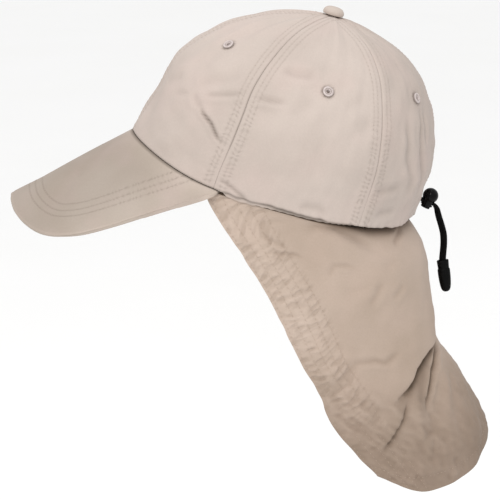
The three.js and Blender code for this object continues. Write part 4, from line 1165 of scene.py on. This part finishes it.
# Creases and soft wrinkles: half width and depth in mm (below 0 stands up), and their places.
FLAP_CREASES = [
    (1.7, 2.4, [(0.05, 0.555), (0.15, 0.568), (0.25, 0.58), (0.356, 0.602), (0.42, 0.632), (0.482, 0.668),
                (0.58, 0.742)]),
    (5.5, -2.2, [(0.53, 0.615), (0.564, 0.638), (0.596, 0.712), (0.656, 0.804), (0.69, 0.85)]),
    (5.0, -1.6, [(0.25, 0.60), (0.36, 0.68), (0.46, 0.77), (0.52, 0.86)]),
    (1.5, 0.7, [(0.56, 0.785), (0.58, 0.80), (0.648, 0.818), (0.68, 0.83)]),
    (1.5, 0.6, [(0.578, 0.79), (0.59, 0.81), (0.634, 0.870), (0.65, 0.89)]),
    (2.0, 1.1, [(0.78, 0.54), (0.748, 0.530), (0.656, 0.518), (0.612, 0.528), (0.534, 0.498), (0.50, 0.48)]),
    (2.2, 1.1, [(0.70, 0.515), (0.748, 0.530), (0.80, 0.563), (0.848, 0.596), (0.922, 0.652), (0.985, 0.71)]),
    (3.6, -0.9, [(0.78, 0.515), (0.88, 0.575), (0.96, 0.64)]),
    (1.5, 0.9, [(0.89, 0.172), (0.87, 0.168), (0.796, 0.152), (0.76, 0.16)]),
    (1.5, 0.9, [(0.885, 0.118), (0.86, 0.125), (0.82, 0.130), (0.80, 0.134)]),
    (1.4, 0.6, [(0.886, 0.100), (0.812, 0.076), (0.758, 0.060)]),
    (1.6, 0.8, [(0.728, 0.224), (0.670, 0.166), (0.62, 0.160), (0.57, 0.17)]),
    (3.2, 1.5, [(0.736, 0.090), (0.658, 0.054), (0.596, 0.050), (0.516, 0.080), (0.43, 0.10)]),
    (2.2, 0.9, [(0.49, 0.21), (0.50, 0.224), (0.550, 0.270), (0.61, 0.318)]),
    (2.2, 0.8, [(0.38, 0.228), (0.43, 0.258), (0.49, 0.295)]),
    (3.0, 0.6, [(0.70, 0.275), (0.63, 0.25), (0.56, 0.235)]),
    (3.0, 0.6, [(0.36, 0.125), (0.42, 0.15), (0.48, 0.178)]),
    (1.5, 1.2, [(0.21, 0.05), (0.25, 0.068), (0.30, 0.082), (0.36, 0.10)]),
    (4.0, -0.7, [(0.84, 0.88), (0.76, 0.92), (0.66, 0.95)]),
    (6.0, 1.0, [(0.84, 0.74), (0.90, 0.80), (0.94, 0.86)]),
]

# Shade gathered between the folds: half width in mm, how dark, and the places.
FLAP_SHADES = [
    (4.4, 0.5, [(0.12, 0.545), (0.22, 0.540), (0.33, 0.550), (0.42, 0.580), (0.50, 0.625), (0.57, 0.69),
                (0.62, 0.75)]),
    (2.4, 0.6, [(0.26, 0.533), (0.36, 0.540), (0.45, 0.564), (0.54, 0.606), (0.62, 0.66)]),
]


def beside_fold(x, y, places):
    """How a flap's point lies to a fold, given the fold's places as shares."""
    return beside_line(x, y, [(p * FLAP_SPREAD, q * FLAP_LENGTH) for p, q in places])


def flap_relief(share, down):
    """Movement of the flap's cloth in mm: outward, across and down the cloth; and its tone of painted light
    and shade.
    """
    a = np.abs(share)
    x, y = a * FLAP_SPREAD, down * FLAP_LENGTH
    out, side_move, down_move = np.zeros_like(x), np.zeros_like(x), np.zeros_like(x)
    # The unseen right side is folded less.
    strength = np.where(share >= 0, 1.0, 0.45)
    # Painted shade in and between the folds.
    fold_shade = np.zeros_like(x)
    for wide, high, over, places in FLAP_LAPS:
        part, beside, toward = beside_fold(x, y, places)
        ends = faded(part, 0.28, 0.34)
        reach = np.where(beside > 0, 4.2 * wide, 1.7 * wide)
        slope = np.where(beside > 0, bell(beside / reach), 0)
        drop = 0.5 * (1 + np.tanh(beside / (0.32 * wide)))
        valley = bell((beside + 1.1 * wide) / (1.15 * wide))
        out += strength * ends * high * (slope * drop - 0.55 * valley * (1 - drop))
        fold_shade += strength * ends * high / 4.4 * bell((beside + 0.9 * wide) / (0.95 * wide)) * (1 - drop)
        push = strength * ends * over * bell((beside - 0.35 * wide) / (0.9 * wide))
        side_move -= push * toward[..., 0]
        down_move -= push * toward[..., 1]
    for wide, deep, places in FLAP_CREASES:
        part, beside, _ = beside_fold(x, y, places)
        ends = faded(part, 0.3, 0.3)
        cut = bell(beside / wide) - 0.45 * bell((np.abs(beside) - 2 * wide) / wide)
        out -= strength * deep * ends * cut
        fold_shade += strength * 0.16 * max(deep, 0) ** 2 / wide * ends * bell(beside / (0.65 * wide)) * 2
    for wide, dark, places in FLAP_SHADES:
        part, beside, _ = beside_fold(x, y, places)
        fold_shade += dark * faded(part, 0.25, 0.25) * bell(beside / wide)
    # Shade is painted on the lower part, which leans away from the light, and the front hem is a little
    # paler.
    low = smooth((down - 0.36) / 0.66)
    tone = (1 - 0.40 * low) * (1 - 0.6 * np.clip(fold_shade, 0, 1.2))
    tone *= 1 + 0.13 * smooth((a - 0.74) / 0.18) * (1 - low)
    # Under the hem the crown shades the flap, most of all toward the back.
    tone *= 1 - 0.86 * np.exp(-(down / (0.016 + 0.05 * smooth((0.78 - a) / 0.35))) ** 4)
    # Painted shade where the flap turns away near the centre back, and over its lower back.
    tone *= 1 - 0.13 * bell((a - 0.16) / 0.1) * bell((down - 0.44) / 0.13)
    tone *= 1 - 0.08 * smooth((0.5 - a) / 0.2) * smooth((down - 0.58) / 0.08)
    return out * smooth(down / 0.05), side_move * np.sign(share), down_move, tone


def flap_puckers(share, down):
    """Short slanting ridges where the sewn rows of the wide front hem draw the cloth in."""
    a = np.abs(share)
    # Half the flap's width in mm at its top, middle and lower edge.
    half_width = np.interp(down, [0, 0.5, 1], [177, 150, 137])
    edge = (1 - a) * half_width
    run = down * PUCKERED_RUN
    drift = swell(edge * 0.5, run, 71, 30)
    relief = np.zeros_like(edge)
    for k, row in enumerate(FLAP_ROWS_SEWN[1:]):
        mid = row - 3.5
        phase = 2 * math.pi * (1.33 * run + 1.2 * edge + 1.1 * k) / 7.6 + 2.2 * drift
        strong = np.clip(0.55 + 0.9 * swell(edge, run, 81, 15), 0.0, 1.6)
        relief += strong * (0.6 - 0.07 * k) * bell((edge - mid) / 3.4) * np.sin(phase)
    for row in FLAP_ROWS_SEWN:
        relief -= 0.12 * bell((edge - row) / 1.0)
    fade = smooth(down / 0.06) * (0.35 + 0.65 * smooth((0.97 - down) / 0.3))
    bottom = (1 - down) * FLAP_LENGTH
    hem_ripple = np.sin(share * 175 + 2 * np.sin(share * 23)) * bell((bottom - 5) / 3.5)
    hem = 0.14 * hem_ripple - 0.15 * bell((bottom - LOWER_HEM) / 1.0)
    return relief * fade * smooth(edge / 1.5) + hem, edge, bottom


FLAP_COLUMNS, FLAP_ROWS = 236, 190
flap_share = np.concatenate([np.linspace(-1, -0.992, 3), np.linspace(-0.985, 0.985, FLAP_COLUMNS),
                             np.linspace(0.992, 1, 3)])
flap_down = np.concatenate([np.linspace(0, 0.985, FLAP_ROWS), [0.99, 0.995, 1]])
share, down = np.meshgrid(flap_share, flap_down)
base = flap_base(share, down)
across, fall, outward = flap_frame(share, down)
out, side_move, down_move, flap_tone = flap_relief(share, down)
puckers, from_front, from_bottom = flap_puckers(share, down)
# Painted light and shade on the puckers of the front hem.
flap_tone *= 1 + 0.10 * np.clip(puckers, -0.5, 0.35)
loose = smooth(from_front / 30) * smooth(down / 0.12)
flap_pull = smooth(down / 0.05) * (1 - 0.6 * smooth((down - 0.62) / 0.2))
x, y = share * FLAP_SPREAD, down * FLAP_LENGTH
waves = 0.9 * swell(x, y, 91, 44) * (0.6 + 0.8 * down) + 0.24 * swell(x, y, 95, 14)
# The lower front is crumpled all over.
crumple = (0.7 * swell(x, y, 97, 12) + 0.6 * swell(x, y, 98, 7)) * smooth((down - 0.6) / 0.12)
crumple = crumple * (0.35 + 0.65 * smooth((np.abs(share) - 0.42) / 0.15)) * smooth(from_bottom / 6)
waves += 0.9 * crumple
# Painted light and shade on the crumples.
flap_tone *= 1 + 0.09 * np.clip(crumple, -1, 1)
# Its corner is rounded off.
corner = 2.0 * bell(np.hypot(from_front, from_bottom) / 8)
side_move = side_move - corner * np.sign(share)
down_move = down_move - 0.8 * corner
# The gathered front edge is a little uneven.
uneven = 0.55 * swell(from_front * 0.3, y, 99, 11) * bell(from_front / 6) * smooth(down / 0.08)
side_move = side_move + uneven * np.sign(share)
out = out + puckers + waves * (0.25 + 0.75 * loose) * smooth(down / 0.06)
outer = base + outward * out[..., None] + across * side_move[..., None] + fall * down_move[..., None]
# The cloth thins toward its edges, as a folded hem rounds off.
thin = np.minimum(1, 0.35 + 0.65 * np.minimum(from_front, from_bottom) / 1.2)
inner = outer - outward * (CLOTH * thin)[..., None]
flap_face = outer
# Above its first row the flap is tucked up inside the hem.
turn = flap_turn(flap_share)
space = FLAP_INSET + back_space(turn)
tucks = np.linspace(FLAP_TUCK, 1.2, 7)
outer = np.concatenate([np.stack([inset_point(turn, tuck, space) for tuck in tucks]), outer])
inner = np.concatenate([np.stack([inset_point(turn, tuck, space + CLOTH) for tuck in tucks]), inner])
# Only the front halves have the gathered hem: this distance is too far in for any of its rows.
NO_ROW = 90
flap_maps = {"weave": (x, y), "rows": (y, np.where(np.abs(share) > 0.5, from_front, NO_ROW)),
             "tone": (flap_tone, flap_pull)}
flap_maps = {label: stretched(np.stack(pair, -1), outer) for label, pair in flap_maps.items()}
flap = shell_piece("hanging_flap", outer, inner, flap_cloth, flap_maps, sharp=70)
dress(flap, "flap_cloth", "neck_flap")


# ---------------------------------------------------------------- stitches

def stitch_tree():
    """Places one small thread loop at each step along every line, lying along the line."""
    tree = bpy.data.node_groups.new("sewn_row", "GeometryNodeTree")
    sockets = {label: tree.interface.new_socket(label, in_out="INPUT", socket_type="NodeSocket" + kind)
               for label, kind in (("Lines", "Geometry"), ("Pitch", "Float"), ("Stitch", "Float"),
                                   ("Thread", "Float"), ("Slack", "Float"), ("Seed", "Int"),
                                   ("Material", "Material"))}
    tree.interface.new_socket("Stitches", in_out="OUTPUT", socket_type="NodeSocketGeometry")
    add = partial(node, tree)
    given = add("NodeGroupInput", out=None)
    lines = add("GeometryNodeMeshToCurve", given["Lines"])
    walk = add("GeometryNodeResampleCurve", lines, mode="LENGTH", Length=given["Pitch"])
    bead = add("GeometryNodeMeshUVSphere", Segments=6, Rings=4, Radius=0.5)
    size = add("CombineXYZ", given["Stitch"], given["Thread"], given["Thread"])
    loop = add("GeometryNodeTransform", Geometry=bead, Scale=size)
    jitter = add("FunctionNodeRandomValue", data_type="FLOAT_VECTOR", Seed=given["Seed"])
    less = add("VectorMath.SUBTRACT", jitter, (0.5, 0.5, 0.5))
    stray = add("VectorMath.SCALE", less, Scale=given["Slack"])
    heading = add("VectorMath.ADD", add("GeometryNodeInputTangent"), stray)
    aim = add("FunctionNodeAlignRotationToVector", axis="X", Vector=heading)
    placed = add("GeometryNodeInstanceOnPoints", Points=walk, Instance=loop, Rotation=aim)
    whole = add("GeometryNodeRealizeInstances", placed)
    shaded = add("GeometryNodeSetShadeSmooth", Geometry=whole)
    painted = add("GeometryNodeSetMaterial", Geometry=shaded, Material=given["Material"])
    add("NodeGroupOutput", painted, out=None)
    return tree, {label: socket.identifier for label, socket in sockets.items()}


sewn_row, sewn_inputs = stitch_tree()
# How far a stitch strays from its line, as a share of its direction.
SLACK = 0.12


def sew(name, lines, material, slot, pitch, stitch, thread, seed=7):
    """Stitches along lines of points in mm, as one plain mesh; pitch, length and thickness in mm."""
    points, edges, start = [], [], 0
    for line in lines:
        points.append(np.asarray(line))
        edges += [(start + k, start + k + 1) for k in range(len(line) - 1)]
        start += len(line)
    mesh = bpy.data.meshes.new(name + "_lines")
    mesh.from_pydata((np.concatenate(points) * MM).tolist(), edges, [])
    source = bpy.data.objects.new(name + "_lines", mesh)
    bpy.context.scene.collection.objects.link(source)
    modifier = source.modifiers.new("sewn_row", "NODES")
    modifier.node_group = sewn_row
    for label, value in (("Pitch", pitch * MM), ("Stitch", stitch * MM), ("Thread", thread * MM),
                         ("Slack", SLACK), ("Seed", seed), ("Material", material)):
        modifier[sewn_inputs[label]] = value
    baked = bpy.data.meshes.new_from_object(source.evaluated_get(bpy.context.evaluated_depsgraph_get()))
    bpy.data.objects.remove(source)
    piece = bpy.data.objects.new(name, baked)
    baked.name = name
    bpy.context.scene.collection.objects.link(piece)
    return dress(piece, slot)


def contour(grid, values, level):
    """Points of a grid where a value reaches a level, the first one in each of its rows."""
    made = []
    for line, value in zip(grid, values):
        low, high = np.minimum(value[:-1], value[1:]), np.maximum(value[:-1], value[1:])
        hit = np.nonzero((low <= level) & (high > level))[0]
        if len(hit):
            i = hit[0]
            t = (level - value[i]) / (value[i + 1] - value[i])
            made.append(line[i] + (line[i + 1] - line[i]) * t)
    return np.array(made)


def halves(columns):
    return slice(0, columns // 2), slice(columns // 2, columns)


crown_lines = [contour(outer[:, part], rows[:, part, 1], row)[2:] for outer, rows in panel_grids.values()
               for part in halves(outer.shape[1]) for row in CROWN_ROWS_SEWN]
sew("crown_topstitch", crown_lines, pale_thread, "crown_cloth", pitch=2.9, stitch=1.6, thread=0.36)

brim_face, brim_distance = np.swapaxes(upper[2:], 0, 1), edge_distance.T
brim_lines = [contour(brim_face, brim_distance, row) for row in BRIM_ROWS_SEWN]
sew("brim_topstitch", brim_lines, tan_thread, "brim_cloth", pitch=2.9, stitch=1.7, thread=0.3)

flap_lines = [contour(flap_face[:, part], from_front[:, part], row)[3:-3]
              for part in halves(flap_face.shape[1]) for row in FLAP_ROWS_SEWN]
flap_lines.append(contour(np.swapaxes(flap_face, 0, 1), from_bottom.T, LOWER_HEM)[4:-4])
sew("flap_topstitch", flap_lines, flap_thread, "flap_cloth", pitch=3.1, stitch=1.9, thread=0.3)

# Close satin stitches round the buttonhole at the centre back.
hole_turn = np.linspace(0, 2 * math.pi, 49)
hole_side = np.array([1.0, 0, 0])
hole_up = unit(np.cross(exit_normal, hole_side))
hole_lines = [[exit_point + exit_normal * (0.15 - 0.1 * k)
               + hole_side * (STRAND_SPREAD + 1.6 + 0.5 * k) * math.cos(t)
               + hole_up * (1.75 + 0.5 * k) * math.sin(t) for t in hole_turn] for k in range(2)]
sew("buttonhole_stitch", hole_lines, pale_thread, "crown_cloth", pitch=0.7, stitch=0.9, thread=0.5)

# Points along the hem the flap hangs from, and a fine grid over the whole flap.
hem_line = flap_base(np.linspace(-1, 1, 300), np.full(300, 0.02))
fine_share, fine_down = np.meshgrid(np.linspace(-1, 1, 240), np.linspace(0, 1, 200))
fine = flap_base(fine_share, fine_down)
